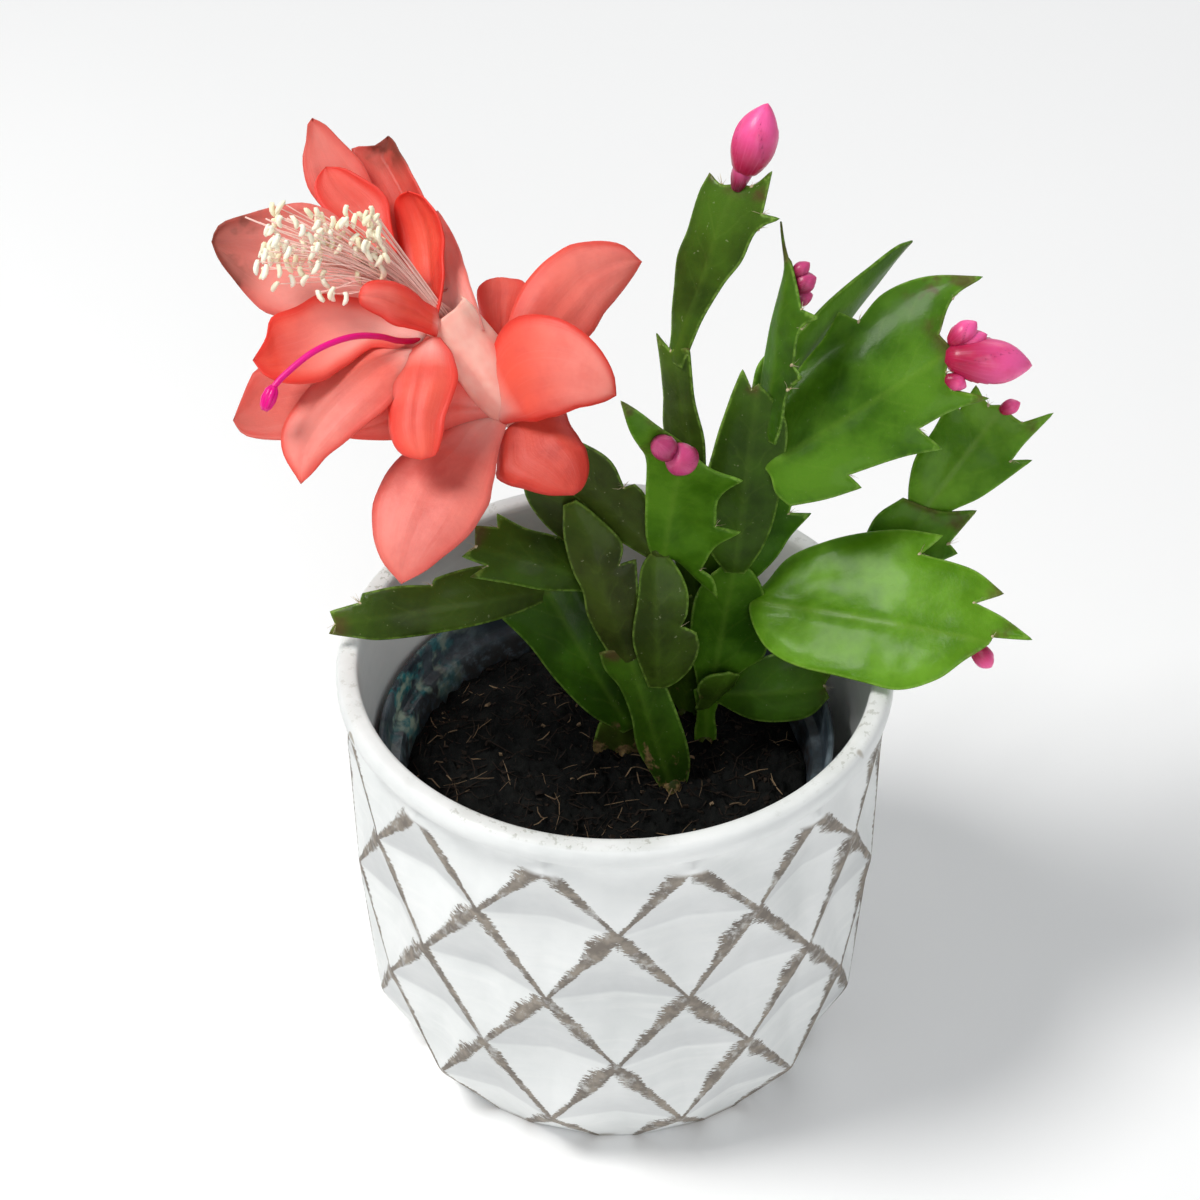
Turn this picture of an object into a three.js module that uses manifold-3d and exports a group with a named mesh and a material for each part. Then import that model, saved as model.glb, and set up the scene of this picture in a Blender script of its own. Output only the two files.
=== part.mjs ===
// A Christmas cactus in flower, in a nursery pot that stands in a white cover pot with a
// diamond lattice. Millimetres, +Z up, -Y is the front. The origin is the middle of the
// cover pot's underside.
import * as THREE from 'three';
import { mergeVertices } from 'three/addons/utils/BufferGeometryUtils.js';
import Module from 'manifold-3d';

const wasm = await Module();
wasm.setup();

// ---- driving dimensions ----
const RIM_R = 65;            // cover pot, outside of the lip
const POT_H = 112;           // cover pot, underside to lip
const LIP_H = 6.5;           // height of the rolled lip
const FLOOR_T = 5;           // cover pot floor
const DIAMONDS = 12;         // lattice diamonds round the pot
const DIAMOND_DEPTH = 4;     // how far a diamond's middle lies behind its ridges
const LATTICE_TURN = 0.01;   // the lattice is turned by this angle, in radians
const RIDGE_Z = [15, 38.5, 61, 84, 104];             // heights where ridges cross
const RIDGE_R = [60.3, 62.7, 63.7, 63.9, 64.3];      // radii of the ridges there
const BASE_R = 50.5;         // edge the pot stands on
const RIDGE_FOOT = 0.35;     // the lowest ridges' feet, in lattice steps from a diamond's middle
const GAP = 0.3;             // room between pieces that touch

const NURSERY_X = -2;        // the nursery pot stands a little off centre
const NURSERY_R = 54;        // nursery pot, outside of its collar
const NURSERY_TOP = 88.5;    // height of the collar's edge
const NURSERY_WALL = 1.3;
const COLLAR_H = 9;          // depth of the wider collar
const SOIL_TOP = 76;         // mean height of the soil
const FOOT_DEPTH = 14;       // how deep each stem stands in the soil

const EDGE_HALF = 0.45;      // half thickness of a segment at its margin
const RIB_HALF = 1.3;        // half thickness of a segment along its midrib
const PETAL_HALF = 0.45;     // half thickness of a petal
const ROUND_SIDES = 48;      // sides of the turned pieces
const SLIVER = 0.01;         // faces narrower than this are closed up

const v = (p) => new THREE.Vector3(...p);

// ---- solids ----
function toSolid(geometry) {
  const bare = geometry.clone();
  bare.deleteAttribute('normal');
  bare.deleteAttribute('uv');
  const merged = mergeVertices(bare, 1e-5);
  return new wasm.Manifold(new wasm.Mesh({
    numProp: 3,
    vertProperties: new Float32Array(merged.attributes.position.array),
    triVerts: new Uint32Array(merged.index.array),
  }));
}

function toGeometry(solid) {
  const mesh = solid.getMesh();
  const geometry = new THREE.BufferGeometry();
  geometry.setAttribute('position', new THREE.BufferAttribute(mesh.vertProperties, 3));
  geometry.setIndex(new THREE.BufferAttribute(mesh.triVerts, 1));
  return geometry;
}

function fuse(solids) {
  return solids.reduce((joined, solid) => joined.add(solid));
}

// The largest body alone, with any sealed hollow inside it filled and slivers taken out.
function whole(solid) {
  const bodies = solid.decompose();
  return bodies.reduce((best, body) => (body.volume() > best.volume() ? body : best)).simplify(SLIVER);
}

function piece(name, solid, colour, roughness) {
  const material = new THREE.MeshStandardMaterial({ color: colour, roughness, metalness: 0 });
  const mesh = new THREE.Mesh(toGeometry(whole(solid)), material);
  mesh.name = name;
  return mesh;
}

function turned(profile, sides = ROUND_SIDES) {
  const lathe = new THREE.LatheGeometry(profile.map(([r, z]) => new THREE.Vector2(r, z)), sides);
  lathe.rotateX(Math.PI / 2);
  return lathe;
}

// Gives a sheet of triangles its thickness: a front, a back and a wall along its outline.
function thicken(points, triangles, half) {
  const sheet = new THREE.BufferGeometry();
  sheet.setAttribute('position', new THREE.Float32BufferAttribute(points.flatMap((p) => p.toArray()), 3));
  sheet.setIndex(triangles.flat());
  sheet.computeVertexNormals();
  const normals = sheet.attributes.normal;
  const count = points.length;
  const front = points.map((p, i) => p.clone().addScaledVector(
    new THREE.Vector3().fromBufferAttribute(normals, i), half[i]));
  const back = points.map((p, i) => p.clone().addScaledVector(
    new THREE.Vector3().fromBufferAttribute(normals, i), -half[i]));
  const faces = [];
  const rim = new Map();
  for (const [a, b, c] of triangles) {
    faces.push([a, b, c], [a + count, c + count, b + count]);
    for (const [from, to] of [[a, b], [b, c], [c, a]]) {
      if (!rim.delete(`${to},${from}`)) {
        rim.set(`${from},${to}`, [from, to]);
      }
    }
  }
  for (const [from, to] of rim.values()) {
    faces.push([to, from, from + count], [to, from + count, to + count]);
  }
  const solid = new THREE.BufferGeometry();
  const all = [...front, ...back].flatMap((p) => p.toArray());
  solid.setAttribute('position', new THREE.Float32BufferAttribute(all, 3));
  solid.setIndex(faces.flat());
  return solid;
}

// ---- stem segments ----
// A flat segment grows from one point to another. left and right list the points of its two
// margins, as [along, out] in millimetres from its foot and from its midrib; a tooth is a point
// that stands out before a notch. across is the way its right half points, bow arches its
// length and cup bends its margins, both away from the side that across and the midrib face.
// twist turns it about its midrib by that angle on the way to its tip.
const RIB_STEP = 6;          // between the points along a midrib
const CUP_AT = 10;           // cup is the bend at this distance from the midrib
const ROOT = 2;              // how far a segment's foot is sunk in what it grows from
const ROOT_HALF = 2.2;       // half width of that foot

function segment({ from, to, across, left, right, bow = 0, cup = 0, twist = 0 }, grow = 0) {
  const start = v(from);
  const axis = v(to).sub(start);
  const length = axis.length();
  axis.normalize();
  const side = v(across).addScaledVector(axis, -v(across).dot(axis)).normalize();
  const place = ([along, out]) => {
    const t = THREE.MathUtils.clamp(along / length, 0, 1);
    const turnedSide = side.clone().applyAxisAngle(axis, twist * t);
    const normal = axis.clone().cross(turnedSide);
    return start.clone()
      .addScaledVector(axis, along + (along < length ? 0 : grow))
      .addScaledVector(turnedSide, out + Math.sign(out) * grow)
      .addScaledVector(normal, bow * Math.sin(Math.PI * t) + cup * (out / CUP_AT) ** 2);
  };
  const ribs = Math.round(length / RIB_STEP);
  const rib = Array.from({ length: ribs + 1 }, (_, i) => [((length + ROOT) * i) / ribs - ROOT, 0]);
  const leftRim = [[-ROOT, -ROOT_HALF], ...left];
  const rightRim = [[-ROOT, ROOT_HALF], ...right];
  const flat = [...rib, ...leftRim, ...rightRim];
  const half = flat.map((_, i) => (i < rib.length ? RIB_HALF : EDGE_HALF) + grow);
  const triangles = [];
  const fill = (rim, offset) => {
    const ring = [...rib.keys(), ...[...rim.keys()].reverse().map((i) => i + offset)];
    const outline = ring.map((i) => new THREE.Vector2(...flat[i]));
    for (const corners of THREE.ShapeUtils.triangulateShape(outline, [])) {
      const [a, b, c] = corners.map((i) => ring[i]);
      const [p, q, r] = [a, b, c].map((i) => new THREE.Vector2(...flat[i]));
      const turn = q.clone().sub(p).cross(r.clone().sub(p));
      triangles.push(turn > 0 ? [a, b, c] : [a, c, b]);
    }
  };
  fill(leftRim, rib.length);
  fill(rightRim, rib.length + leftRim.length);
  return toSolid(thicken(flat.map(place), triangles, half));
}

// The round foot of a stem, which stands in a plain hole in the soil. It narrows both ways
// from the soil's top.
const FOOT_SIDES = 10;
const FOOT_RISE = 5;
const FOOT_LOW = 0.8;        // share of its radius left at its lower end
const FOOT_HIGH = 0.75;      // and at its upper end

function foot([x, y], radius, grow = 0) {
  const low = SOIL_TOP - FOOT_DEPTH - grow;
  const high = SOIL_TOP + FOOT_RISE;
  const r = radius + grow;
  const profile = [[0, low], [r * FOOT_LOW, low], [r, SOIL_TOP], [r * FOOT_HIGH, high], [0, high]];
  return toSolid(turned(profile, FOOT_SIDES)).translate([x, y, 0]);
}

const stems = {
  stem_left: {
    foot: { at: [2, 5], radius: 4.5 },
    segments: [
      { from: [2, 5, 72], to: [1, 5, 90], across: [1, 0, 0],
        left: [[4, -6.5], [12, -5.5], [17, -3]], right: [[4, 6], [12, 6], [17, 3]] },
      { from: [3, 5, 86], to: [-17, 16, 121], across: [0.88, 0.16, 0.44], bow: -2,
        left: [[6.5, -6.5], [17.5, -9], [29.5, -10.5], [39, -13], [39, -10], [45, -10], [43, -5]],
        right: [[6, 6], [16, 8.5], [26, 9], [32, 11.5], [33, 8], [41, 9.5], [41, 4]] },
      { from: [-17, 15, 119], to: [-65, 4, 118], across: [-0.2, 0.55, 0.82], bow: -4, cup: 1,
        left: [[6, -4], [14, -5], [26, -5.5], [40, -5], [46, -3.5], [51, -2]],
        right: [[6, 6], [14, 8], [25, 7], [26, 5.5], [34, 6.5], [42, 6], [43, 4], [50, 3]] },
    ],
  },
  stem_flower: {
    foot: { at: [14, -6], radius: 4.5 },
    segments: [
      { from: [14, -6, 74], to: [3, -1, 114], across: [0.96, 0.03, 0.28],
        left: [[6, -3.5], [14, -5], [24, -4], [32, -4.5], [38, -6.5], [43, -6.5], [43, -3]],
        right: [[0, 3], [6, 5.5], [13, 6.5], [21, 6.5], [28, 6], [33, 5.5], [38, 5]] },
      { from: [3, -1, 112], to: [-9, 10, 150], across: [0.94, 0.1, 0.33], bow: -2,
        left: [[3, -4], [14, -5.5], [20, -4.8], [26, -5.5], [34, -5], [41, -3]],
        right: [[2, 5.5], [9, 8], [10, 5.5], [24, 9], [24, 5], [28, 7], [31, 6.5], [38, 2.5]] },
      { from: [-4, 8, 128], to: [-32, 8, 138], across: [0.26, 0.62, 0.74], bow: -3, cup: 1,
        left: [[6, -4], [13, -5.5], [20, -6], [29, -7], [26, -3.5], [32, -3]],
        right: [[4, 5], [12, 7], [20, 7], [27, 8.5], [26, 5.5], [31, 4.5]] },
      { from: [-4, 10, 132], to: [-18, 14, 158], across: [0.87, 0, 0.49],
        left: [[6, -3.5], [14, -6], [22, -6.5], [28, -4]],
        right: [[6, 4], [14, 6], [23, 7], [28, 3]] },
      { from: [10, -3, 107], to: [9, 6, 139], across: [1, 0.02, 0.07], bow: -2,
        left: [[4, -4], [12, -5.5], [22, -4], [29, -3]],
        right: [[2, 7], [8, 9.5], [12.5, 9], [14.5, 5.5], [18, 7], [24, 7], [30, 4]] },
      { from: [11, 6, 138], to: [15, -2, 175], across: [1, 0.02, -0.06], bow: 2, cup: -1.5,
        left: [[5, -4.5], [18, -6], [34, -8], [46, -13], [56, -16], [49, -10], [42, -4]],
        right: [[-3, 4], [-8, 9], [-12, 14], [-6, 12], [-4, 9], [4, 11], [12, 16],
          [11, 10.5], [20, 10], [29, 14], [30, 8], [34, 3]] },
      { from: [10, 6, 138], to: [-17, 15, 164.5], across: [0.71, 0, 0.71], bow: 1,
        left: [[4, -4], [12, -6], [20, -5], [28, -5.5], [37, -3.5]],
        right: [[5, 4], [13, 7.5], [16, 7.5], [17, 5], [24, 7.5], [31, 6], [37, 3]] },
    ],
  },
  stem_trunk: {
    foot: { at: [22, 10], radius: 3 },
    segments: [
      { from: [22, 10, 74], to: [22, 10, 94], across: [1, 0, 0],
        left: [[4, -2.5], [10, -2], [15, -2.5], [18, -3]], right: [[4, 2.5], [10, 2], [15, 3], [18, 3]] },
      { from: [22, 9, 88], to: [27, 6, 101], across: [0.8, 0.4, -0.3], cup: 4,
        left: [[3, -3], [7, -5], [12, -4]], right: [[3, 3], [7, 4.5], [12, 4]] },
      { from: [23, 10, 91], to: [28, 12, 131], across: [1, 0, -0.12], bow: 1.5,
        left: [[4, -4], [12, -6.5], [26, -7.5], [34, -5]],
        right: [[6, 6], [12, 11], [20, 10.5], [29, 8.5], [36, 5]] },
      { from: [26, 10, 91], to: [50, 9, 94], across: [-0.1, 0.45, 0.88], bow: 2,
        left: [[5, -6], [12, -7.5], [20, -7], [25, -3]],
        right: [[5, 6], [13, 9], [21, 8], [26, 3]] },
      { from: [28, 12, 129], to: [32, 18, 177], across: [1, 0, -0.08], bow: 1,
        left: [[5, -7], [20, -9], [31, -8], [38, -7], [46, -5.5], [52, -4], [47, -1.5]],
        right: [[5, 5.5], [13, 7.5], [25, 8], [38, 7.5], [44, 4]] },
      { from: [31, 15, 125], to: [37, 17, 157], across: [0.98, 0, -0.18], bow: 1,
        left: [[6, -3], [16, -5], [26, -4]],
        right: [[5, 6], [11, 8], [18, 11], [17, 6], [26, 6], [31, 4]] },
      { from: [36, 16, 156], to: [76, 25, 181], across: [-0.51, 0.63, 0.59], cup: -1,
        left: [[-3, -6], [-2, -10], [6, -13], [14, -15], [13, -11], [26, -14], [34, -17],
          [32, -10.5], [41, -11], [49, -13], [43, -7], [44, -3]],
        right: [[2, 6], [9, 11], [16, 15.5], [24, 18.5], [30, 22], [33, 17.5], [41, 20],
          [51, 18], [62, 11], [54, 10.5], [47, 5]] },
      { from: [35, 17, 164], to: [39, 30, 202], across: [0.59, -0.77, 0.23], bow: -1,
        left: [[5, -3.5], [14, -4.5], [24, -3.5], [33, -2], [39, -1.6], [48, -5], [41, -1]],
        right: [[4, 4], [12, 5], [16, 9], [18, 5.5], [27, 7], [31, 12], [31, 6], [37, 2]] },
      { from: [32, 22.5, 165], to: [68, 55, 190.5], across: [-0.58, -0.05, 0.81], bow: -2, twist: 0.7,
        left: [[6, -5], [16, -7], [26, -6.5], [34, -6], [42, -5], [50, -2.5]],
        right: [[3, 5.5], [8, 9], [14, 8.5], [21, 6], [31, 5], [41, 4.5], [51, 3]] },
      { from: [34, 11, 118], to: [85, -10, 124], across: [0.17, 0.83, 0.53], bow: 2,
        left: [[3, -9], [8, -12], [14, -13.5], [22, -14], [30, -14.5], [38, -14.5], [46, -10.5], [51, -5]],
        right: [[0, 5], [4, 12], [12, 17], [20, 20.5], [30, 23], [39, 23.5], [35, 18], [48, 16.5],
          [56, 12.5], [50, 9], [57, 7], [65, 3], [56, 2]] },
    ],
  },
  stem_right: {
    foot: { at: [31, 23], radius: 3 },
    segments: [
      { from: [31, 23, 74], to: [46, 19, 109], across: [0.3, 0.95, 0],
        left: [[5, -4], [18, -4.5], [34, -4]], right: [[5, 4], [18, 4.5], [34, 4]] },
      { from: [45, 19, 107], to: [62, 16, 117], across: [0.2, 0.95, 0],
        left: [[4, -3.5], [10, -4.5], [17, -4]], right: [[4, 3.5], [10, 4.5], [17, 4]] },
      { from: [60, 16, 115], to: [73, 26, 135], across: [0.84, -0.25, -0.48],
        left: [[5, -6], [10, -8], [18, -9], [25, -6]],
        right: [[6, 5], [14, 8], [20, 12], [21, 9], [31, 10.5], [27, 4]] },
      { from: [72, 26, 133], to: [90, 36, 157], across: [0.8, -0.24, -0.54], bow: 1,
        left: [[4, -6.5], [10, -9], [18, -9.5], [26, -11], [25, -7.5], [32, -8], [30, -3]],
        right: [[4, 5], [11, 9], [25, 13.5], [22, 9.5], [28, 9.5], [37, 10.5], [31, 6], [31, 3]] },
    ],
  },
  stem_tall: {
    foot: { at: [17, 19], radius: 3.5 },
    segments: [
      { from: [17, 19, 74], to: [20, 20, 114], across: [0.9, -0.3, 0],
        left: [[5, -4], [14, -5.5], [26, -5], [36, -4]], right: [[5, 4], [14, 5.5], [26, 5], [36, 4]] },
      { from: [20, 20, 112], to: [19, 20, 149], across: [0.84, -0.49, 0.1],
        left: [[4, -4.5], [12, -7], [22, -6.5], [33, -4.5]], right: [[4, 4], [12, 6], [22, 6], [33, 4]] },
      { from: [19, 20, 147], to: [14, 26, 181], across: [0.84, -0.49, 0.23],
        left: [[5, -5], [13, -7], [23, -5.5], [38, -5], [34, -2]],
        right: [[5, 2.8], [13, 3.4], [24, 2.6], [35, 2.8]] },
      { from: [14, 26, 179], to: [27, 38, 217], across: [0.73, -0.68, -0.02],
        left: [[4, -3.5], [12, -6.5], [20, -9], [27, -8.5], [36, -9], [41, -8], [40, -4]],
        right: [[6, 2.5], [13, 3.2], [20, 4.8], [27, 7.5], [35, 8.8], [39.5, 13], [38.5, 8.5],
          [48, 7], [43, 3.5]] },
    ],
  },
};

function stem({ foot: base, segments }, grow = 0) {
  return fuse([foot(base.at, base.radius, grow), ...segments.map((s) => segment(s, grow))]);
}

// ---- cover pot ----
// The lattice is a stack of rings. On each ring the points lie by turns on a crossing of two
// ridges and in the sunk middle of a diamond, and the ridges run from crossing to crossing.
function latticeBody() {
  const count = DIAMONDS * 2;
  const corner = (radius, step, z) => {
    const angle = LATTICE_TURN - Math.PI / 2 + (step * Math.PI) / DIAMONDS;
    return new THREE.Vector3(radius * Math.cos(angle), radius * Math.sin(angle), z);
  };
  const rings = RIDGE_Z.map((z, row) => Array.from({ length: count }, (_, i) => {
    const crossing = (i + row) % 2 === 1;
    return corner(RIDGE_R[row] - (crossing ? 0 : DIAMOND_DEPTH), i, z);
  }));
  const points = [...rings.flat(), new THREE.Vector3(0, 0, 0), new THREE.Vector3(0, 0, RIDGE_Z.at(-1))];
  const low = rings.length * count;
  const high = low + 1;
  const feet = low + 2;
  const top = (rings.length - 1) * count;
  for (let i = 0; i < count; i += 1) {
    points.push(corner(BASE_R, i % 2 === 0 ? i - RIDGE_FOOT : i - 1 + RIDGE_FOOT, 0));
  }
  const faces = [];
  for (let row = 0; row < rings.length - 1; row += 1) {
    for (let i = 0; i < count; i += 1) {
      const next = (i + 1) % count;
      const [under, over] = [row * count, (row + 1) * count];
      const [a, b, c, d] = [under + i, under + next, over + next, over + i];
      if ((i + row) % 2 === 0) {
        faces.push([a, b, d], [b, c, d]);
      } else {
        faces.push([a, b, c], [a, c, d]);
      }
    }
  }
  for (let i = 0; i < count; i += 2) {
    const [centre, crossing, nextCentre] = [i, i + 1, (i + 2) % count];
    const [footA, footB, footC] = [feet + i, feet + i + 1, feet + nextCentre];
    faces.push([footA, footB, centre], [footB, crossing, centre]);
    faces.push([footB, footC, crossing], [footC, nextCentre, crossing]);
    faces.push([low, footB, footA], [low, footC, footB]);
    faces.push([high, top + i, top + i + 1], [high, top + i + 1, top + nextCentre]);
  }
  const geometry = new THREE.BufferGeometry();
  geometry.setAttribute('position', new THREE.Float32BufferAttribute(points.flatMap((p) => p.toArray()), 3));
  geometry.setIndex(faces.flat());
  return toSolid(geometry);
}

const LIP_Z = POT_H - LIP_H;
const LIP_PROFILE = [[0, LIP_Z - 5], [61.4, LIP_Z - 5], [63, LIP_Z - 0.5], [RIM_R, LIP_Z + 2],
  [RIM_R - 0.2, POT_H - 1.4], [RIM_R - 1.5, POT_H], [0, POT_H]];
const WELL_PROFILE = [[0, FLOOR_T], [45, FLOOR_T], [50.5, 11], [54.5, 30], [57.7, 88],
  [59.7, POT_H - 1], [60.3, POT_H + 1], [0, POT_H + 1]];

function coverPot() {
  return latticeBody().add(toSolid(turned(LIP_PROFILE))).subtract(toSolid(turned(WELL_PROFILE)));
}

// ---- nursery pot and soil ----
const NURSERY_Z = FLOOR_T + GAP;
const NURSERY_BASE_R = 38;
const STEP_Z = NURSERY_TOP - COLLAR_H;      // where the collar steps out from the body
const BODY_TOP_R = 50.5;
const bodyRadius = (z) => THREE.MathUtils.mapLinear(z, NURSERY_Z, STEP_Z, NURSERY_BASE_R, BODY_TOP_R);
const DRAINS = 4;
const DRAIN_R = 3.5;
const DRAIN_RING_R = 24;
const DRAIN_SIDES = 10;
const COLLAR_FLARE = 0.8;    // how far the collar opens towards its edge
const COLLAR_T = 1.3;        // thickness of the step under the collar
const STEP_RISE = 0.3;       // how far that step climbs outwards
const BASE_EDGE = 1;         // chamfer round the pot's underside

function nurseryPot() {
  const inside = (z) => bodyRadius(z) - NURSERY_WALL;
  const floor = NURSERY_Z + NURSERY_WALL;
  const profile = [
    [0, NURSERY_Z], [NURSERY_BASE_R - BASE_EDGE, NURSERY_Z], [NURSERY_BASE_R, NURSERY_Z + BASE_EDGE],
    [BODY_TOP_R, STEP_Z], [NURSERY_R - COLLAR_FLARE, STEP_Z + STEP_RISE], [NURSERY_R, NURSERY_TOP],
    [NURSERY_R - NURSERY_WALL, NURSERY_TOP],
    [NURSERY_R - COLLAR_FLARE - NURSERY_WALL, STEP_Z + STEP_RISE + COLLAR_T],
    [inside(STEP_Z), STEP_Z + COLLAR_T], [inside(floor), floor], [0, floor],
  ];
  let pot = toSolid(turned(profile));
  for (let i = 0; i < DRAINS; i += 1) {
    const angle = (2 * Math.PI * i) / DRAINS;
    const drain = new THREE.CylinderGeometry(DRAIN_R, DRAIN_R, 4 * NURSERY_WALL, DRAIN_SIDES);
    drain.rotateX(Math.PI / 2);
    drain.translate(DRAIN_RING_R * Math.cos(angle), DRAIN_RING_R * Math.sin(angle), NURSERY_Z);
    pot = pot.subtract(toSolid(drain));
  }
  return pot.translate([NURSERY_X, 0, 0]);
}

// The soil's lumps are a sum of waves, each with its height and its lengths along x and y.
const LUMPS = [[0.55, 6.1, 7.3], [0.55, 6.1, -7.3], [0.8, 3.7, -4.9], [0.5, 2.3, 2.9]];
const SOIL_RINGS = [45, 38, 30, 22, 14, 6];
const SOIL_SIDES = 32;
const SOIL_EDGE = 2.5;       // how far the soil sinks towards the pot's wall

function lumps(x, y) {
  return LUMPS.reduce((sum, [height, along, over]) => sum + height * Math.sin(x / along + y / over + 1), 0);
}

function soilBody() {
  const low = NURSERY_Z + NURSERY_WALL + GAP;
  const wall = (z) => bodyRadius(z) - NURSERY_WALL - GAP;
  const edge = SOIL_TOP - SOIL_EDGE;
  const crown = [...SOIL_RINGS, 0].map((r) => [r, SOIL_TOP]);
  const profile = [[0, low], [wall(low), low], [wall(edge), edge], ...crown];
  const geometry = turned(profile, SOIL_SIDES);
  const spots = geometry.attributes.position;
  for (let i = 0; i < spots.count; i += 1) {
    if (spots.getZ(i) === SOIL_TOP) {
      spots.setZ(i, SOIL_TOP + lumps(spots.getX(i), spots.getY(i)));
    }
  }
  return toSolid(geometry).translate([NURSERY_X, 0, 0]);
}

// ---- buds ----
// A bud's profile, as shares of its radius and of its length.
const BUD_PROFILE = [[0, 0], [0.55, 0], [0.97, 0.32], [0.92, 0.6], [0.45, 0.9], [0, 1]];
const BUD_SIDES = 8;

function bud({ from, to, radius }) {
  const along = v(to).sub(v(from));
  const length = along.length();
  const lathe = turned(BUD_PROFILE.map(([r, z]) => [r * radius, z * length]), BUD_SIDES);
  lathe.applyQuaternion(new THREE.Quaternion().setFromUnitVectors(v([0, 0, 1]), along.normalize()));
  lathe.translate(...from);
  return toSolid(lathe);
}

const buds = {
  bud_top: { on: 'stem_tall', parts: [
    { from: [26.5, 37.5, 215.5], to: [29, 38.5, 223], radius: 2.2 },
    { from: [28, 38, 219], to: [33, 41, 236], radius: 4.7 }] },
  buds_narrow: { on: 'stem_trunk', parts: [
    { from: [39, 29, 198.5], to: [43, 30, 201.5], radius: 1.6 },
    { from: [39, 28.5, 196.5], to: [44.5, 29, 198.5], radius: 2.4 },
    { from: [39, 28, 193], to: [44, 28.5, 194], radius: 1.9 }] },
  buds_broad: { on: 'stem_trunk', parts: [
    { from: [74, 24.5, 180], to: [94, 25, 177], radius: 5.2 },
    { from: [75, 26, 182], to: [81, 28, 187], radius: 2.6 },
    { from: [75, 26, 181], to: [83.5, 27, 184], radius: 2.3 },
    { from: [74, 22, 176], to: [79, 20.5, 174.5], radius: 1.9 }] },
  bud_side: { on: 'stem_right', parts: [{ from: [89, 35.5, 156], to: [94, 36, 158], radius: 1.7 }] },
  bud_low: { on: 'stem_trunk', parts: [{ from: [82, -8.6, 122.4], to: [86.4, -9.4, 116.4], radius: 2.3 }] },
  buds_middle: { on: 'stem_flower', parts: [
    { from: [12.5, -2.6, 173], to: [8.6, -7.2, 180.6], radius: 2.8 },
    { from: [15, -1, 171.5], to: [13.8, -8, 175], radius: 3.5 }] },
};

// ---- bloom ----
const BLOOM_FOOT = [-18, 15, 164];
const BLOOM_MOUTH = [-40, 25, 195];
const TUBE_SIDES = 14;
const TUBE = [[0, 0], [2.6, 0.4], [3.2, 3], [3, 5], [4.2, 8], [4.8, 14], [4.9, 22], [5.6, 30], [6.6, 38],
  [5.7, 38.4], [0, 38.4]];
const THROAT = [[0, 19], [3.7, 19], [3.9, 22], [4.6, 30], [5.7, 39], [0, 39]];

const ALONG = v(BLOOM_MOUTH).sub(v(BLOOM_FOOT)).normalize();
const BEHIND = v([0, 1, 0]).addScaledVector(ALONG, -ALONG.y).normalize();

// A place in the bloom: so far along it from its foot, and so far behind its middle.
function inBloom(along, behind = 0) {
  return v(BLOOM_FOOT).addScaledVector(ALONG, along).addScaledVector(BEHIND, behind);
}

function alongBloom(geometry, place = inBloom(0)) {
  geometry.applyQuaternion(new THREE.Quaternion().setFromUnitVectors(v([0, 0, 1]), ALONG));
  return geometry.translate(...place.toArray());
}

// A petal lies from its root to its tip. faces is the way its inner side looks; bow lifts its
// middle and cup its sides towards that way, and curl turns its tip back.
const PETAL_ROWS = 5;
const PETAL_COLUMNS = 4;
const PETAL_TIP = 0.08;      // least width, as a share of the most
const petalWidth = (t) => Math.max(PETAL_TIP, Math.sin(Math.PI * (0.04 + 0.96 * t) ** 0.9) ** 0.6);

function petal({ from, to, half, faces, bow = 0, cup = 0, curl = 0 }) {
  const start = v(from);
  const axis = v(to).sub(start);
  const length = axis.length();
  axis.normalize();
  const normal = v(faces).addScaledVector(axis, -v(faces).dot(axis)).normalize();
  const side = normal.clone().cross(axis);
  const points = [];
  const triangles = [];
  for (let row = 0; row <= PETAL_ROWS; row += 1) {
    const t = row / PETAL_ROWS;
    const width = half * petalWidth(t);
    for (let column = 0; column <= PETAL_COLUMNS; column += 1) {
      const u = (2 * column) / PETAL_COLUMNS - 1;
      points.push(start.clone()
        .addScaledVector(axis, length * t)
        .addScaledVector(side, width * u)
        .addScaledVector(normal, bow * Math.sin(Math.PI * t) + cup * u * u * (width / half) - curl * t ** 4));
      if (row > 0 && column > 0) {
        const d = points.length - 1;
        const [a, b, c] = [d - PETAL_COLUMNS - 2, d - PETAL_COLUMNS - 1, d - 1];
        triangles.push([a, b, c], [b, d, c]);
      }
    }
  }
  return toSolid(thicken(points, triangles, points.map(() => PETAL_HALF)));
}

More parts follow.
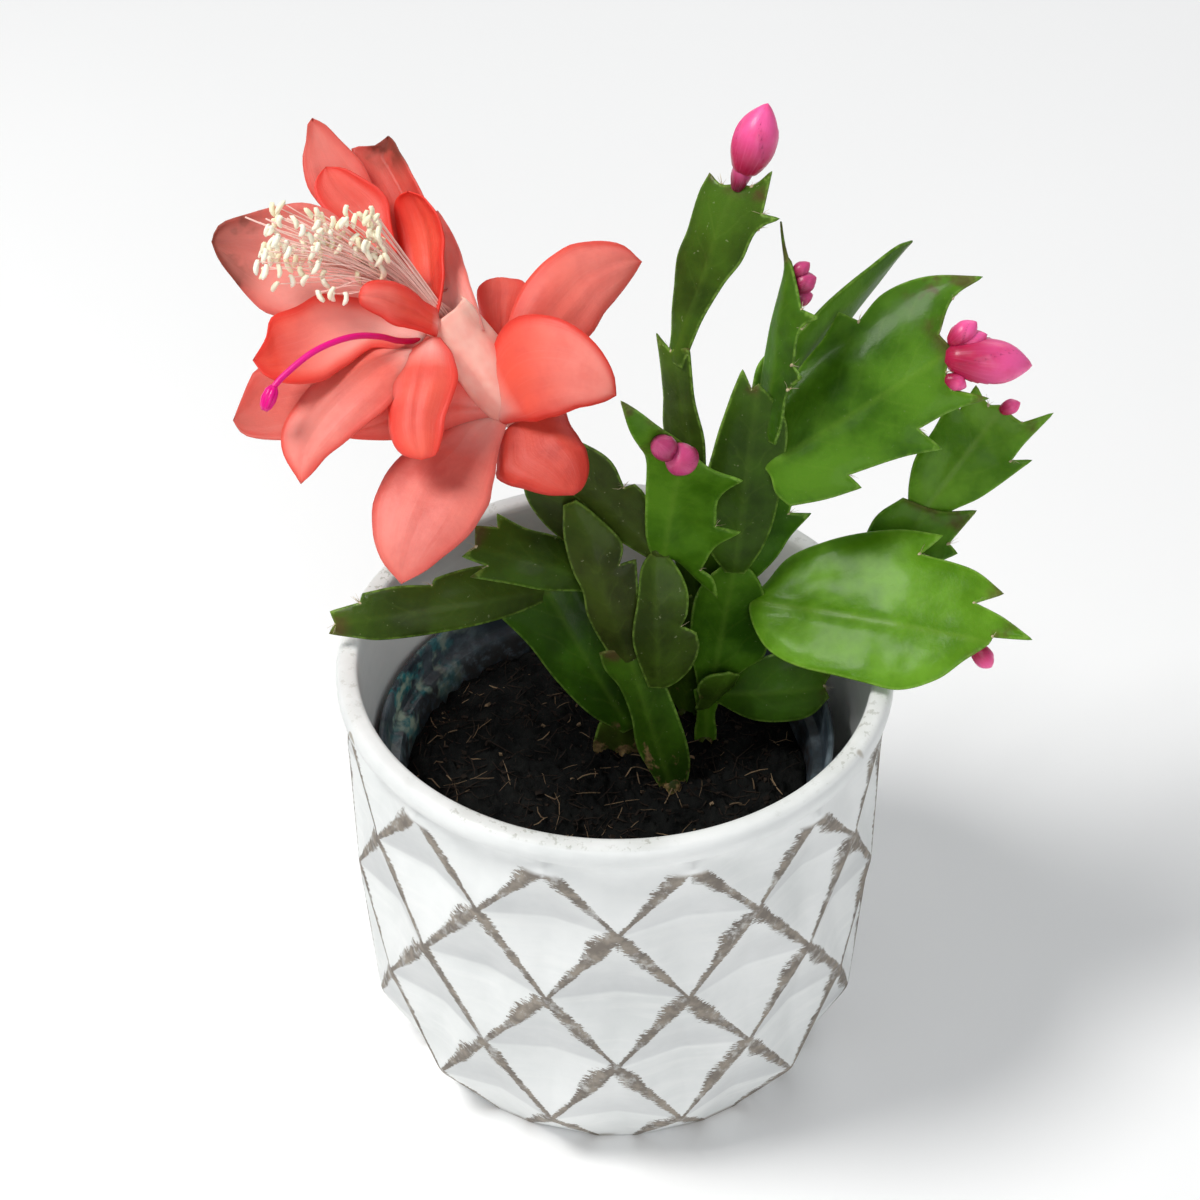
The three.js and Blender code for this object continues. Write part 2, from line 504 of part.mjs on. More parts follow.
const FRONT = [0, -0.76, 0.65];
const petals = [
  // the upper ones, round the mouth
  { from: [-43, 30, 193], to: [-69, 64, 217], half: 8.5, faces: FRONT, bow: -2, cup: 1.5, curl: -2 },
  { from: [-38, 31, 193], to: [-53, 64, 213], half: 9, faces: [-0.3, -0.7, 0.6], bow: -2, cup: 2 },
  { from: [-41, 30, 195], to: [-60, 51, 212], half: 8, faces: FRONT, bow: -1, cup: 1.5 },
  { from: [-46, 26, 191], to: [-89, 38, 204], half: 10, faces: [0.1, -0.8, 0.6], bow: -3, cup: 2, curl: -2 },
  { from: [-34, 26, 194], to: [-46, 50, 213], half: 8, faces: [-0.8, -0.5, 0.3], bow: -2, cup: 2 },
  { from: [-36, 26, 190], to: [-39, 53, 206], half: 7.5, faces: [-0.5, -0.6, 0.5], bow: 2, cup: -1 },
  // the lower ones
  { from: [-44, 21, 190], to: [-79, 8, 193], half: 8, faces: [-0.2, -0.5, 0.8], bow: -2, cup: 2 },
  { from: [-43, 20, 189], to: [-84, 4, 177], half: 9.5, faces: [-0.4, -0.4, 0.8], bow: 2, cup: 1.5 },
  { from: [-41, 19, 189], to: [-69, -9, 171], half: 9.5, faces: [-0.4, -0.6, 0.6], bow: 3, cup: -1.5 },
  { from: [-37, 18, 192], to: [-41, -9, 177], half: 7.5, faces: [-0.2, -0.6, 0.7], bow: 4, cup: -2 },
  { from: [-35, 20, 196], to: [-57, 13, 203], half: 5, faces: [0.2, -0.8, 0.5], bow: 2, cup: -1.5 },
  // the whorl at the foot of the tube
  { from: [-23, 20, 174], to: [7, 42, 194], half: 10, faces: [0.2, -0.7, 0.6], bow: 4, cup: -2, curl: 2 },
  { from: [-24, 13, 174], to: [0, 4, 188], half: 11.5, faces: [0.4, -0.7, 0.6], bow: 5, cup: -2, curl: 2 },
  { from: [-21, 12, 170], to: [-8, -4, 163], half: 10, faces: [0.3, -0.8, 0.5], bow: 3, cup: -2 },
  { from: [-23, 11, 170], to: [-48, -23, 154], half: 12.5, faces: [-0.3, -0.6, 0.7],
    bow: 4, cup: -1.5, curl: 2 },
  { from: [-25, 21, 174], to: [-26, 46, 187], half: 8, faces: [-0.2, -0.6, 0.7], bow: 2, cup: -1 },
  { from: [-25, 14, 170], to: [-56, 10, 176], half: 7, faces: [-0.2, -0.8, 0.5], bow: 2, cup: -1 },
];

function bloomBody() {
  const tube = toSolid(alongBloom(turned(TUBE, TUBE_SIDES)));
  const well = toSolid(alongBloom(turned(THROAT, TUBE_SIDES)));
  return fuse([tube, ...petals.map(petal)]).subtract(well);
}

let draw = 7;
function random() {
  draw = (draw * 16807) % 2147483647;
  return draw / 2147483647;
}
const spread = () => 2 * random() - 1;

function rod(points, radius, sides, steps) {
  const section = new THREE.Shape(Array.from({ length: sides }, (_, i) => {
    const angle = (2 * Math.PI * i) / sides;
    return new THREE.Vector2(radius * Math.cos(angle), radius * Math.sin(angle));
  }));
  const path = new THREE.CatmullRomCurve3(points.map(v));
  return toSolid(new THREE.ExtrudeGeometry(section, { steps, extrudePath: path, curveSegments: 1 }));
}

const anthers = [
  { centre: [-71, 24, 211], size: [9, 7, 8], count: 22 },
  { centre: [-56, 27, 207], size: [6, 6, 8], count: 14 },
  { centre: [-64, 15, 204], size: [3, 2, 3], count: 3 },
];
const FILAMENT_R = 0.4;
const FILAMENT_ARCH = 4.5;
const ANTHER_HALF = [0.9, 0.9, 1.7];
const CORE_FOOT = 19.4;      // the filaments' joined feet, measured from the bloom's foot
const CORE_BEHIND = 0.9;     // and how far they stand behind its middle
const CORE_H = 17;
const CORE_LOW_R = 1.8;
const CORE_R = 2.7;
const CORE_PROFILE = [[0, 0], [CORE_LOW_R, 0], [CORE_R, CORE_H], [CORE_R * 0.6, CORE_H + 1], [0, CORE_H + 1]];

function stamens() {
  const core = alongBloom(turned(CORE_PROFILE, 8), inBloom(CORE_FOOT, CORE_BEHIND));
  const solids = [toSolid(core)];
  const top = inBloom(CORE_FOOT + CORE_H, CORE_BEHIND);
  for (const { centre, size, count } of anthers) {
    for (let i = 0; i < count; i += 1) {
      const end = v(centre).add(v(size.map((s) => s * spread())));
      const aim = end.clone().sub(top);
      const lean = aim.addScaledVector(ALONG, -aim.dot(ALONG)).normalize();
      const low = top.clone().addScaledVector(ALONG, -1)
        .addScaledVector(lean, CORE_R * (0.3 + 0.5 * random()));
      const middle = low.clone().lerp(end, 0.45).addScaledVector(ALONG, FILAMENT_ARCH);
      solids.push(rod([low.toArray(), middle.toArray(), end.toArray()], FILAMENT_R, 3, 2));
      const anther = new THREE.OctahedronGeometry(1).scale(...ANTHER_HALF);
      anther.rotateX(spread()).rotateY(spread()).translate(...end.toArray());
      solids.push(toSolid(anther));
    }
  }
  return fuse(solids);
}

const STYLE_R = 0.65;
const STYLE_SIDES = 6;
const STYLE_STEPS = 20;
const STYLE_ROOT = [CORE_FOOT, -2.5];        // along the bloom and behind its middle
const STYLE_NECK = [CORE_FOOT + 12, -3.3];
const STYLE_ARCH = [[-47, 14, 196], [-56, 9, 199], [-66, 2, 197], [-75, -4, 191]];
const STIGMA_AT = [-76, -4, 189.5];
const STIGMA_HALF = [1.5, 1.5, 2.6];

function style(grow = 0) {
  const route = [inBloom(...STYLE_ROOT).toArray(), inBloom(...STYLE_NECK).toArray(), ...STYLE_ARCH];
  const stalk = rod(route, STYLE_R + grow, STYLE_SIDES, STYLE_STEPS);
  const stigma = new THREE.SphereGeometry(1, 8, 6).scale(...STIGMA_HALF);
  stigma.rotateX(-0.3).rotateY(0.5).translate(...STIGMA_AT);
  return stalk.add(toSolid(stigma));
}

// ---- assembly ----
const root = new THREE.Group();
const stemColours = {
  stem_left: 0x2f4d12, stem_flower: 0x36541a, stem_trunk: 0x47761a, stem_right: 0x3c6a22, stem_tall: 0x3d5c1c,
};
const grown = Object.fromEntries(Object.entries(stems).map(([name, plan]) => [name, stem(plan, GAP)]));

root.add(piece('cover_pot', coverPot(), 0xecefee, 0.45));
root.add(piece('nursery_pot', nurseryPot(), 0x3a4249, 0.4));
root.add(piece('soil', soilBody().subtract(fuse(Object.values(grown))), 0x1c1512, 1));
for (const [name, plan] of Object.entries(stems)) {
  root.add(piece(name, stem(plan), stemColours[name], 0.45));
}
for (const [name, { on, parts }] of Object.entries(buds)) {
  root.add(piece(name, fuse(parts.map(bud)).subtract(grown[on]), 0xd43072, 0.4));
}
const petalBody = bloomBody().subtract(grown.stem_flower).subtract(style(GAP));
root.add(piece('bloom_petals', petalBody, 0xee5f52, 0.5));
root.add(piece('bloom_stamens', stamens(), 0xfdf4cf, 0.6));
root.add(piece('bloom_style', style(), 0xc8107c, 0.45));

export default root;
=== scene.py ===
"""A Christmas cactus in flower, in a nursery pot that stands in a white lattice cover pot.
Metres, +Z up, -Y is the front; tables and profiles below are in millimetres."""
import math
import random

import bpy
import numpy as np
from mathutils import Matrix, Quaternion, Vector, noise
from mathutils.geometry import delaunay_2d_cdt


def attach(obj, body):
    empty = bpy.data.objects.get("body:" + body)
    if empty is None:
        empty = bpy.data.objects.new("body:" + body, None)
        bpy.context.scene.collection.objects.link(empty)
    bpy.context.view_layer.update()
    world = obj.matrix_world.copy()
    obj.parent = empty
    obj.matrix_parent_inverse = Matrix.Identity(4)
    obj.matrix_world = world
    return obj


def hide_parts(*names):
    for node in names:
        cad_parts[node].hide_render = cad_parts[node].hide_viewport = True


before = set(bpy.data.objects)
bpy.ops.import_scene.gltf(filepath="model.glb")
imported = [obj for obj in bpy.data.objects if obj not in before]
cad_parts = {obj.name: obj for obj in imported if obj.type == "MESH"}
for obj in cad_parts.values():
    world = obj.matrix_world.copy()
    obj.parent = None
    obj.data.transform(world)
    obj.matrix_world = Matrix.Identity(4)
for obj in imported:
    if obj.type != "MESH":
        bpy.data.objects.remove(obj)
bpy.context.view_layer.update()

MM = 0.001
draw = random.Random(11)


def srgb(r, g, b):
    """Colour as seen on screen, 0 to 255, as linear values."""
    return tuple(c / 12.92 if c <= 0.04045 else ((c + 0.055) / 1.055) ** 2.4
                 for c in (r / 255, g / 255, b / 255)) + (1.0,)


def smooth(x):
    """An even rise from 0 to 1."""
    x = np.clip(x, 0, 1)
    return x * x * (3 - 2 * x)


# ---- meshes ----
class Flesh:
    """Points in millimetres, faces and values at points, gathered into one piece."""

    def __init__(self):
        self.points, self.faces, self.values, self.uv = [], [], {}, []
        self.corner_uv = None           # given where the pattern isn't one value for each point

    def add(self, points, faces, uv=None, **values):
        """Adds points and faces, with a value for each point or one for them all under each name."""
        start = len(self.points)
        self.points.extend(tuple(p) for p in points)
        self.faces.extend([start + i for i in face] for face in faces)
        self.uv.extend(uv if uv is not None else [(0.0, 0.0)] * len(points))
        for name, given in values.items():
            have = self.values.setdefault(name, [])
            have.extend([0.0] * (start - len(have)))
            have.extend([given] * len(points) if np.isscalar(given) else list(given))

    def piece(self, name, material, slot, *nodes, flat=False):
        """Makes the mesh and its object, with the values as attributes and the pattern as a UV map."""
        mesh = bpy.data.meshes.new(name)
        mesh.from_pydata([(x * MM, y * MM, z * MM) for x, y, z in self.points], [], self.faces)
        mesh.update()
        for title, values in self.values.items():
            values = values + [0.0] * (len(self.points) - len(values))
            layer = mesh.attributes.new(title, "FLOAT", "POINT")
            layer.data.foreach_set("value", np.array(values, np.float32))
        corners = np.zeros(len(mesh.loops), np.int32)
        mesh.loops.foreach_get("vertex_index", corners)
        spots = self.corner_uv or np.array(self.uv, np.float32)[corners]
        layer = mesh.uv_layers.new(name="surface")
        layer.data.foreach_set("uv", np.array(spots, np.float32).ravel())
        piece = bpy.data.objects.new(name, mesh)
        bpy.context.scene.collection.objects.link(piece)
        if not flat:
            mesh.polygons.foreach_set("use_smooth", [True] * len(mesh.polygons))
        return settle(piece, material, slot, *nodes)


def settle(piece, material, slot, *nodes):
    """Gives a piece its material and body, and names the nodes that it replaces; slot is not used."""
    piece.data.materials.clear()
    piece.data.materials.append(material)
    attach(piece, "root")
    if nodes:
        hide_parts(*nodes)
    return piece


def point_normals(points, triangles):
    """The way out of the surface at each point, as the mean of the triangles round it."""
    p = np.array(points, float)
    t = np.array(triangles, int)
    face = np.cross(p[t[:, 1]] - p[t[:, 0]], p[t[:, 2]] - p[t[:, 0]])
    normals = np.zeros_like(p)
    for k in range(3):
        np.add.at(normals, t[:, k], face)
    return normals / np.maximum(np.linalg.norm(normals, axis=1, keepdims=True), 1e-12)


def ring_faces(rings, sides):
    """Faces between rings of points, each round its own turn, with a cap at either end."""
    faces = []
    for i in range(rings - 1):
        for k in range(sides):
            n = (k + 1) % sides
            faces.append([i * sides + k, i * sides + n, (i + 1) * sides + n, (i + 1) * sides + k])
    return faces + [list(range(sides))[::-1], list(range((rings - 1) * sides, rings * sides))]


def open_edges(triangles):
    """The edges that only one triangle has, each in that triangle's direction."""
    edges = {}
    for f in triangles:
        for a, b in zip(f, f[1:] + f[:1]):
            if (b, a) in edges:
                del edges[(b, a)]
            else:
                edges[(a, b)] = True
    return list(edges)


def both_sides(triangles, count):
    """The triangles, and the same turned round on a second set of count points."""
    return [list(f) for f in triangles] + [[i + count for i in reversed(f)] for f in triangles]


def tube(points, radii, sides=6):
    """A closed round rod through the points, with a radius at each."""
    points = [Vector(p) for p in points]
    side = None
    rings = []
    for i, p in enumerate(points):
        ahead = (points[min(i + 1, len(points) - 1)] - points[max(i - 1, 0)]).normalized()
        if side is None:
            side = ahead.orthogonal().normalized()
        side = (side - ahead * side.dot(ahead)).normalized()
        other = ahead.cross(side)
        for k in range(sides):
            a = 2 * math.pi * k / sides
            rings.append(p + (side * math.cos(a) + other * math.sin(a)) * radii[i])
    return rings, ring_faces(len(points), sides)


def curve_through(points, steps):
    """A smooth path through a few points."""
    p = [Vector(q) for q in points]
    p = [2 * p[0] - p[1]] + p + [2 * p[-1] - p[-2]]
    path = []
    for i in range(1, len(p) - 2):
        for s in range(steps):
            t = s / steps
            path.append(0.5 * (2 * p[i] + (p[i + 1] - p[i - 1]) * t
                               + (2 * p[i - 1] - 5 * p[i] + 4 * p[i + 1] - p[i + 2]) * t * t
                               + (3 * p[i] - p[i - 1] - 3 * p[i + 1] + p[i + 2]) * t ** 3))
    path.append(p[-2])
    return path


# ---- materials ----
def new_material(name, roughness=0.5, specular=0.5, coat=0.0, coat_roughness=0.2):
    """A material with its even values set, and the wiring that gives it the rest."""
    material = bpy.data.materials.new(name)
    material.use_nodes = True
    set_values(material, {"Roughness": roughness, "Specular IOR Level": specular, "Coat Weight": coat,
                          "Coat Roughness": coat_roughness})
    return material, Wiring(material.node_tree)


def set_values(material, values):
    """Sets values that are the same all over the surface."""
    for socket, value in values.items():
        material.node_tree.nodes["Principled BSDF"].inputs[socket].default_value = value


class Wiring:
    """Short words for placing and joining the nodes of a material or a node group."""

    def __init__(self, tree):
        self.tree = tree
        self.place = 0

    def node(self, kind, **settings):
        """A new node, set out in rows of eight."""
        made = self.tree.nodes.new(kind)
        self.place += 1
        made.location = (-1600 + 190 * (self.place % 8), -220 * (self.place // 8))
        for key, value in settings.items():
            setattr(made, key, value)
        return made

    def feed(self, socket, value):
        """Joins a socket to another one, or sets it."""
        if isinstance(value, bpy.types.NodeSocket):
            self.tree.links.new(value, socket)
        elif value is not None:
            socket.default_value = value

    def value(self, name):
        return self.node("ShaderNodeAttribute", attribute_name=name).outputs["Fac"]

    def here(self):
        return self.node("ShaderNodeTexCoord").outputs["Object"]

    def surface(self):
        return self.node("ShaderNodeUVMap", uv_map="surface").outputs["UV"]

    def math(self, operation, a, b=None, c=None, clamp=False):
        made = self.node("ShaderNodeMath", operation=operation, use_clamp=clamp)
        for socket, value in zip(made.inputs, (a, b, c)):
            self.feed(socket, value)
        return made.outputs[0]

    def times(self, a, b, clamp=False):
        return self.math("MULTIPLY", a, b, clamp=clamp)

    def plus(self, a, b):
        return self.math("ADD", a, b)

    def less(self, a, b, clamp=False):
        return self.math("SUBTRACT", a, b, clamp=clamp)

    def scaled(self, value, factor, start, clamp=False):
        """The value times the factor, plus the start."""
        return self.math("MULTIPLY_ADD", value, factor, start, clamp=clamp)

    def ramp(self, value, low, high, to_low=0.0, to_high=1.0, kind="SMOOTHSTEP"):
        """From to_low to to_high as the value goes from low to high, and level beyond."""
        made = self.node("ShaderNodeMapRange", interpolation_type=kind)
        for key, given in (("Value", value), ("From Min", low), ("From Max", high),
                           ("To Min", to_low), ("To Max", to_high)):
            self.feed(made.inputs[key], given)
        return made.outputs["Result"]

    def mix(self, share, a, b):
        """Colour a, with the given share of colour b over it."""
        made = self.node("ShaderNodeMix", data_type="RGBA")
        for socket, value in zip((made.inputs["Factor"], made.inputs[6], made.inputs[7]), (share, a, b)):
            self.feed(socket, value)
        return made.outputs[2]

    def noise(self, vector, scale, detail=3.0, roughness=0.55):
        made = self.node("ShaderNodeTexNoise")
        for key, given in (("Vector", vector), ("Scale", scale), ("Detail", detail), ("Roughness", roughness)):
            self.feed(made.inputs[key], given)
        return made.outputs[0]

    def stretch(self, vector, scale):
        made = self.node("ShaderNodeMapping")
        self.feed(made.inputs["Vector"], vector)
        made.inputs["Scale"].default_value = scale
        return made.outputs[0]

    def split(self, vector):
        made = self.node("ShaderNodeSeparateXYZ")
        self.feed(made.inputs[0], vector)
        return made.outputs

    def join(self, x, y, z):
        made = self.node("ShaderNodeCombineXYZ")
        for socket, value in zip(made.inputs, (x, y, z)):
            self.feed(socket, value)
        return made.outputs[0]

    def bump(self, height, distance, strength=1.0):
        made = self.node("ShaderNodeBump")
        self.feed(made.inputs["Height"], height)
        made.inputs["Distance"].default_value = distance
        made.inputs["Strength"].default_value = strength
        return made.outputs[0]


def mottle_group():
    """Broad clouds and fine grain at a place, as two masks from 0 to 1."""
    tree = bpy.data.node_groups.new("mottle", "ShaderNodeTree")
    for title, kind, way in (("Place", "Vector", "INPUT"), ("Clouds", "Float", "INPUT"), ("Grains", "Float", "INPUT"),
                             ("Cloud", "Float", "OUTPUT"), ("Grain", "Float", "OUTPUT")):
        tree.interface.new_socket(title, in_out=way, socket_type="NodeSocket" + kind)
    w = Wiring(tree)
    given = w.node("NodeGroupInput").outputs
    out = w.node("NodeGroupOutput")
    cloud = w.noise(given["Place"], given["Clouds"], detail=4.0, roughness=0.6)
    grain = w.noise(given["Place"], given["Grains"], detail=3.0, roughness=0.65)
    w.feed(out.inputs["Cloud"], w.ramp(cloud, 0.32, 0.68))
    w.feed(out.inputs["Grain"], w.ramp(grain, 0.3, 0.7))
    return tree


MOTTLE = mottle_group()


def mottle(wiring, place, clouds, grains):
    """Places the mottle group, with how fine its clouds and grains are."""
    made = wiring.node("ShaderNodeGroup", node_tree=MOTTLE)
    for title, value in (("Place", place), ("Clouds", clouds), ("Grains", grains)):
        wiring.feed(made.inputs[title], value)
    return made.outputs["Cloud"], made.outputs["Grain"]


def dress(material, wiring, colour=None, roughness=None, normal=None):
    """Leads what changes over the surface to the material's shader."""
    shader = material.node_tree.nodes["Principled BSDF"]
    for socket, value in (("Base Color", colour), ("Roughness", roughness), ("Normal", normal)):
        wiring.feed(shader.inputs[socket], value)


def flesh_light(material, weight, radius, scale):
    """Light that passes a little way into a plant's flesh."""
    set_values(material, {"Subsurface Weight": weight, "Subsurface Radius": radius, "Subsurface Scale": scale})


# ---- cover pot ----
RIDGE_Z = [15, 38.5, 61, 84, 104]  # heights at which ridges cross
RIDGE_R = [60.3, 62.7, 63.7, 63.9, 64.3]
DIAMOND_DEPTH = 4.8                # of a diamond's middle behind its ridges
LATTICE_TURN = 0.01
STEPS_ROUND = 24                   # half diamonds round the pot
BASE_R = 50.5
RIDGE_FOOT = 0.35                  # half width of a ridge at the table, in half diamonds
COLUMNS = STEPS_ROUND * 18
ROWS = 20                          # rings of points between two heights of crossings
FOOT_ROWS = 14
OFF_LATTICE = -9.0                 # in place of a height on the lattice, for the lip and the inside
WEAR = 2                           # rounds of wear on the crests
LIP_OVERLAP, LIP_INSET = 1, 0.4    # where the lattice runs into the lip
# radius and height, from the top of the lattice over the lip and down the inside
LIP = [(61.4, 100.5), (62.1, 103), (63.0, 105.2), (64.3, 106.6), (65.0, 107.9), (65.0, 109.6), (64.75, 110.8),
       (64.2, 111.6), (63.4, 112), (62.4, 112.05), (61.2, 112), (60.4, 111.75), (59.95, 111.1), (59.7, 110),
       (59.1, 104), (58.4, 97), (57.7, 88), (56.8, 70), (55.7, 50), (54.5, 30), (53.4, 22), (52.0, 14.5),
       (50.6, 10.8), (48.4, 7.4), (45.4, 5.2), (42, 5)]


def polar(radius, step, z):
    """A point of the pot, step half diamonds round from its front."""
    angle = LATTICE_TURN - math.pi / 2 + step * 2 * math.pi / STEPS_ROUND
    return Vector((radius * math.cos(angle), radius * math.sin(angle), z))


def lattice_corner(step, row):
    """A crossing of two ridges, or the middle of a diamond."""
    row = min(max(int(row), 0), len(RIDGE_Z) - 1)
    crossing = (int(step) + row) % 2 == 1
    return polar(RIDGE_R[row] - (0 if crossing else DIAMOND_DEPTH), step, RIDGE_Z[row])


def lattice_point(x, n):
    """A point of the lattice: x counts half diamonds round the pot and n rows of crossings."""
    s, t = 2 * round((x + n) / 2), 2 * round((x - n) / 2)
    middle_x, middle_n = (s + t) / 2, (s - t) / 2
    a, b = abs(x - middle_x), abs(n - middle_n)
    beside = middle_x + (1 if x > middle_x else -1)
    above = middle_n + (1 if n > middle_n else -1)
    return (lattice_corner(middle_x, middle_n) * (1 - a - b) + lattice_corner(beside, middle_n) * a
            + lattice_corner(middle_x, above) * b)


def foot_point(x, f):
    """Below the lowest crossings: f runs from 0 at the table to 1 at the crossings."""
    i = 2 * math.floor((x + RIDGE_FOOT * (1 - f)) / 2)
    feet = [(i - RIDGE_FOOT, i), (i + RIDGE_FOOT, i), (i + RIDGE_FOOT, i + 1), (i + 2 - RIDGE_FOOT, i + 1),
            (i + 2 - RIDGE_FOOT, i + 2)]
    marks = [a + (b - a) * f for a, b in feet]
    spots = [polar(BASE_R, a, 0).lerp(lattice_corner(b, 0), f) for a, b in feet]
    for k in range(4):
        if x <= marks[k + 1] or k == 3:
            span = marks[k + 1] - marks[k]
            return spots[k].lerp(spots[k + 1], min(max((x - marks[k]) / span, 0), 1) if span > 1e-9 else 0)


def under_lip(p):
    """Near the lip a point of the lattice stands out at least as far as the lip does."""
    if p.z <= LIP[0][1] - LIP_OVERLAP:
        return p
    out = math.hypot(p.x, p.y)
    lip = float(np.interp(p.z, [z for _, z in LIP[:5]], [radius for radius, _ in LIP[:5]]))
    grown = max(out, lip - LIP_INSET)
    return Vector((p.x * grown / out, p.y * grown / out, p.z))


def build_cover_pot():
    """Diamonds round the outside, a rolled lip and a smooth inside, as rings of points with caps."""
    rings, lattice = [], []
    steps = [j * STEPS_ROUND / COLUMNS for j in range(COLUMNS + 1)]
    for k in range(FOOT_ROWS):
        rings.append([foot_point(x, k / FOOT_ROWS) for x in steps[:-1]])
        lattice.append(-(1 - RIDGE_FOOT) * (1 - k / FOOT_ROWS))
    for k in range((len(RIDGE_Z) - 1) * ROWS + 1):
        rings.append([under_lip(lattice_point(x, k / ROWS)) for x in steps[:-1]])
        lattice.append(k / ROWS)
    for radius, z in LIP[2:]:
        rings.append([polar(radius, x, z) for x in steps[:-1]])
        lattice.append(OFF_LATTICE)
    # worn crests are a little round: each ring point leans towards the mean of its neighbours
    field = np.array([[tuple(p) for p in ring] for ring in rings])
    outside = FOOT_ROWS + (len(RIDGE_Z) - 1) * ROWS
    for _ in range(WEAR):
        soft = (np.roll(field, 1, 1) + np.roll(field, -1, 1)) / 4 + field / 2
        soft[1:-1] = (soft[:-2] + soft[2:]) / 4 + soft[1:-1] / 2
        field[1:outside] = soft[1:outside]
    # the paint follows the two ways in which the ridges run
    spots = []
    for n0, n1 in zip(lattice, lattice[1:]):
        for x0, x1 in zip(steps, steps[1:]):
            if n1 == OFF_LATTICE:
                spots += [(0.0, 0.0)] * 4
            else:
                spots += [(x0 + n0, x0 - n0), (x1 + n0, x1 - n0), (x1 + n1, x1 - n1), (x0 + n1, x0 - n1)]
    body = Flesh()
    body.add([tuple(p) for ring in field for p in ring], ring_faces(len(rings), COLUMNS))
    body.corner_uv = spots + [(0.0, 0.0)] * (2 * COLUMNS)
    pot = body.piece("cover_pot_painted", pot_paint(), "cover_pot_paint", "cover_pot")
    caps = len(pot.data.polygons) - 2
    for polygon in pot.data.polygons[caps:]:
        polygon.use_smooth = False


# heights and radii between which one part of the paint gives way to the next, in metres
FOOT_EDGE = (0.0004, 0.0022)
POT_WALL = (0.0480, 0.0500)
LIP_FOOT = (0.1008, 0.1026)
LIP_SIDE = (0.1055, 0.107)
RIM_FLAT = (0.1113, 0.1119)


def pot_paint():
    """Off-white satin paint, mottled, rubbed through to taupe along the ridges and on the rim."""
    material, w = new_material("pot_paint", roughness=0.5, specular=0.45)
    here = w.here()
    s, t, _ = w.split(w.surface())
    x, y, z = w.split(here)

    def past(value, start):
        # how far value is past the last crossing; start keeps it above 0
        return w.math("MODULO", w.plus(value, start), 2.0)

    level = w.times(w.less(w.less(past(s, 41.0), 1.0), w.less(past(t, 41.0), 1.0)), 0.5)
    round_pot = w.plus(s, t)
    up_pot = w.less(s, t)
    hairs = w.noise(w.join(w.times(up_pot, 34.0), w.times(round_pot, 4.0), 1.7),
                    1.0, detail=2.5, roughness=0.6)

    def stroke(across, along, fall, seed):
        # a dry brush has worn each ridge: wide below its upper crossing, a line at its lower one
        away = w.less(past(across, 40.0), 1.0)
        which = w.math("FLOOR", w.math("DIVIDE", across, 2.0))
        down = w.math("DIVIDE", past(w.times(along, fall), 81.0), 2.0)
        patch = w.noise(w.join(w.times(along, 1.3), which, seed), 1.0, detail=1.0)
        wide = w.times(w.ramp(down, 0.12, 1.0, 0.20, 0.055), w.ramp(patch, 0.3, 0.7, 0.55, 1.35))
        lean = w.ramp(away, -0.01, 0.01, 1.0, 0.45)
        reach = w.times(w.times(wide, lean), w.ramp(hairs, 0.3, 0.66, 0.5, 1.3))
        side = w.less(w.plus(reach, 0.014), w.math("ABSOLUTE", away))
        return w.ramp(side, -0.008, 0.012)

    worn = w.math("MAXIMUM", stroke(s, t, 1.0, 2.0), stroke(t, s, -1.0, 9.0))
    out = w.math("SQRT", w.plus(w.times(x, x), w.times(y, y)))
    outside = w.times(w.ramp(z, *LIP_FOOT, 1.0, 0.0), w.ramp(out, *POT_WALL))
    thin = w.noise(here, 260.0, detail=4.0, roughness=0.7)
    worn = w.times(worn, outside)
    worn = w.times(worn, w.ramp(thin, 0.28, 0.5, 0.45, 1.0))
    # the foot edge and the flat of the rim are rubbed too
    foot = w.times(w.ramp(z, *FOOT_EDGE, 1.0, 0.0), w.ramp(w.noise(here, 60.0), 0.42, 0.6))
    specks = w.ramp(w.noise(here, 520.0, detail=2.0, roughness=0.8), 0.55, 0.63)
    rim = w.times(w.ramp(z, *RIM_FLAT), w.ramp(w.noise(here, 42.0, detail=4.0), 0.36, 0.62))
    rim_grey = w.times(rim, w.scaled(specks, 0.55, 0.32))
    chips = w.times(w.ramp(z, *LIP_SIDE), w.ramp(w.noise(here, 95.0, detail=1.0), 0.745, 0.765))
    blotch = w.noise(here, 28.0, detail=5.0, roughness=0.6)
    brushed = w.noise(w.stretch(here, (60.0, 60.0, 500.0)), 1.0, detail=3.0)
    paint = w.mix(w.ramp(blotch, 0.35, 0.7), srgb(238, 240, 239), srgb(222, 225, 224))
    paint = w.mix(w.ramp(brushed, 0.45, 0.75, 0.0, 0.35), paint, srgb(244, 245, 243))
    paint = w.mix(rim_grey, paint, srgb(176, 177, 168))
    # painted shade: grey above each diamond's middle, where its upper faces meet the lower ones
    painted_facet_shade = w.times(w.ramp(level, -0.01, 0.05), w.ramp(level, 0.1, 0.95, 1.0, 0.25))
    painted_facet_shade = w.times(w.times(painted_facet_shade, outside), w.ramp(blotch, 0.2, 0.7, 0.28, 0.5))
    paint = w.mix(painted_facet_shade, paint, srgb(186, 188, 190))
    taupe = w.mix(w.ramp(w.noise(here, 330.0, detail=3.0), 0.35, 0.7), srgb(104, 93, 82), srgb(146, 135, 121))
    paint = w.mix(w.times(worn, 0.92), paint, taupe)
    paint = w.mix(w.times(foot, 0.7), paint, srgb(140, 128, 112))
    paint = w.mix(w.times(chips, 0.8), paint, srgb(150, 138, 118))
    height = w.scaled(thin, 0.12, w.scaled(worn, -0.6, w.times(brushed, 0.25)))
    rough = w.scaled(worn, 0.3, w.ramp(blotch, 0.3, 0.7, 0.42, 0.55))
    dress(material, w, colour=paint, roughness=rough, normal=w.bump(height, 0.0004, 0.7))
    return material


# ---- nursery pot ----
NURSERY_X = -2.0
NURSERY_SIDES = 128
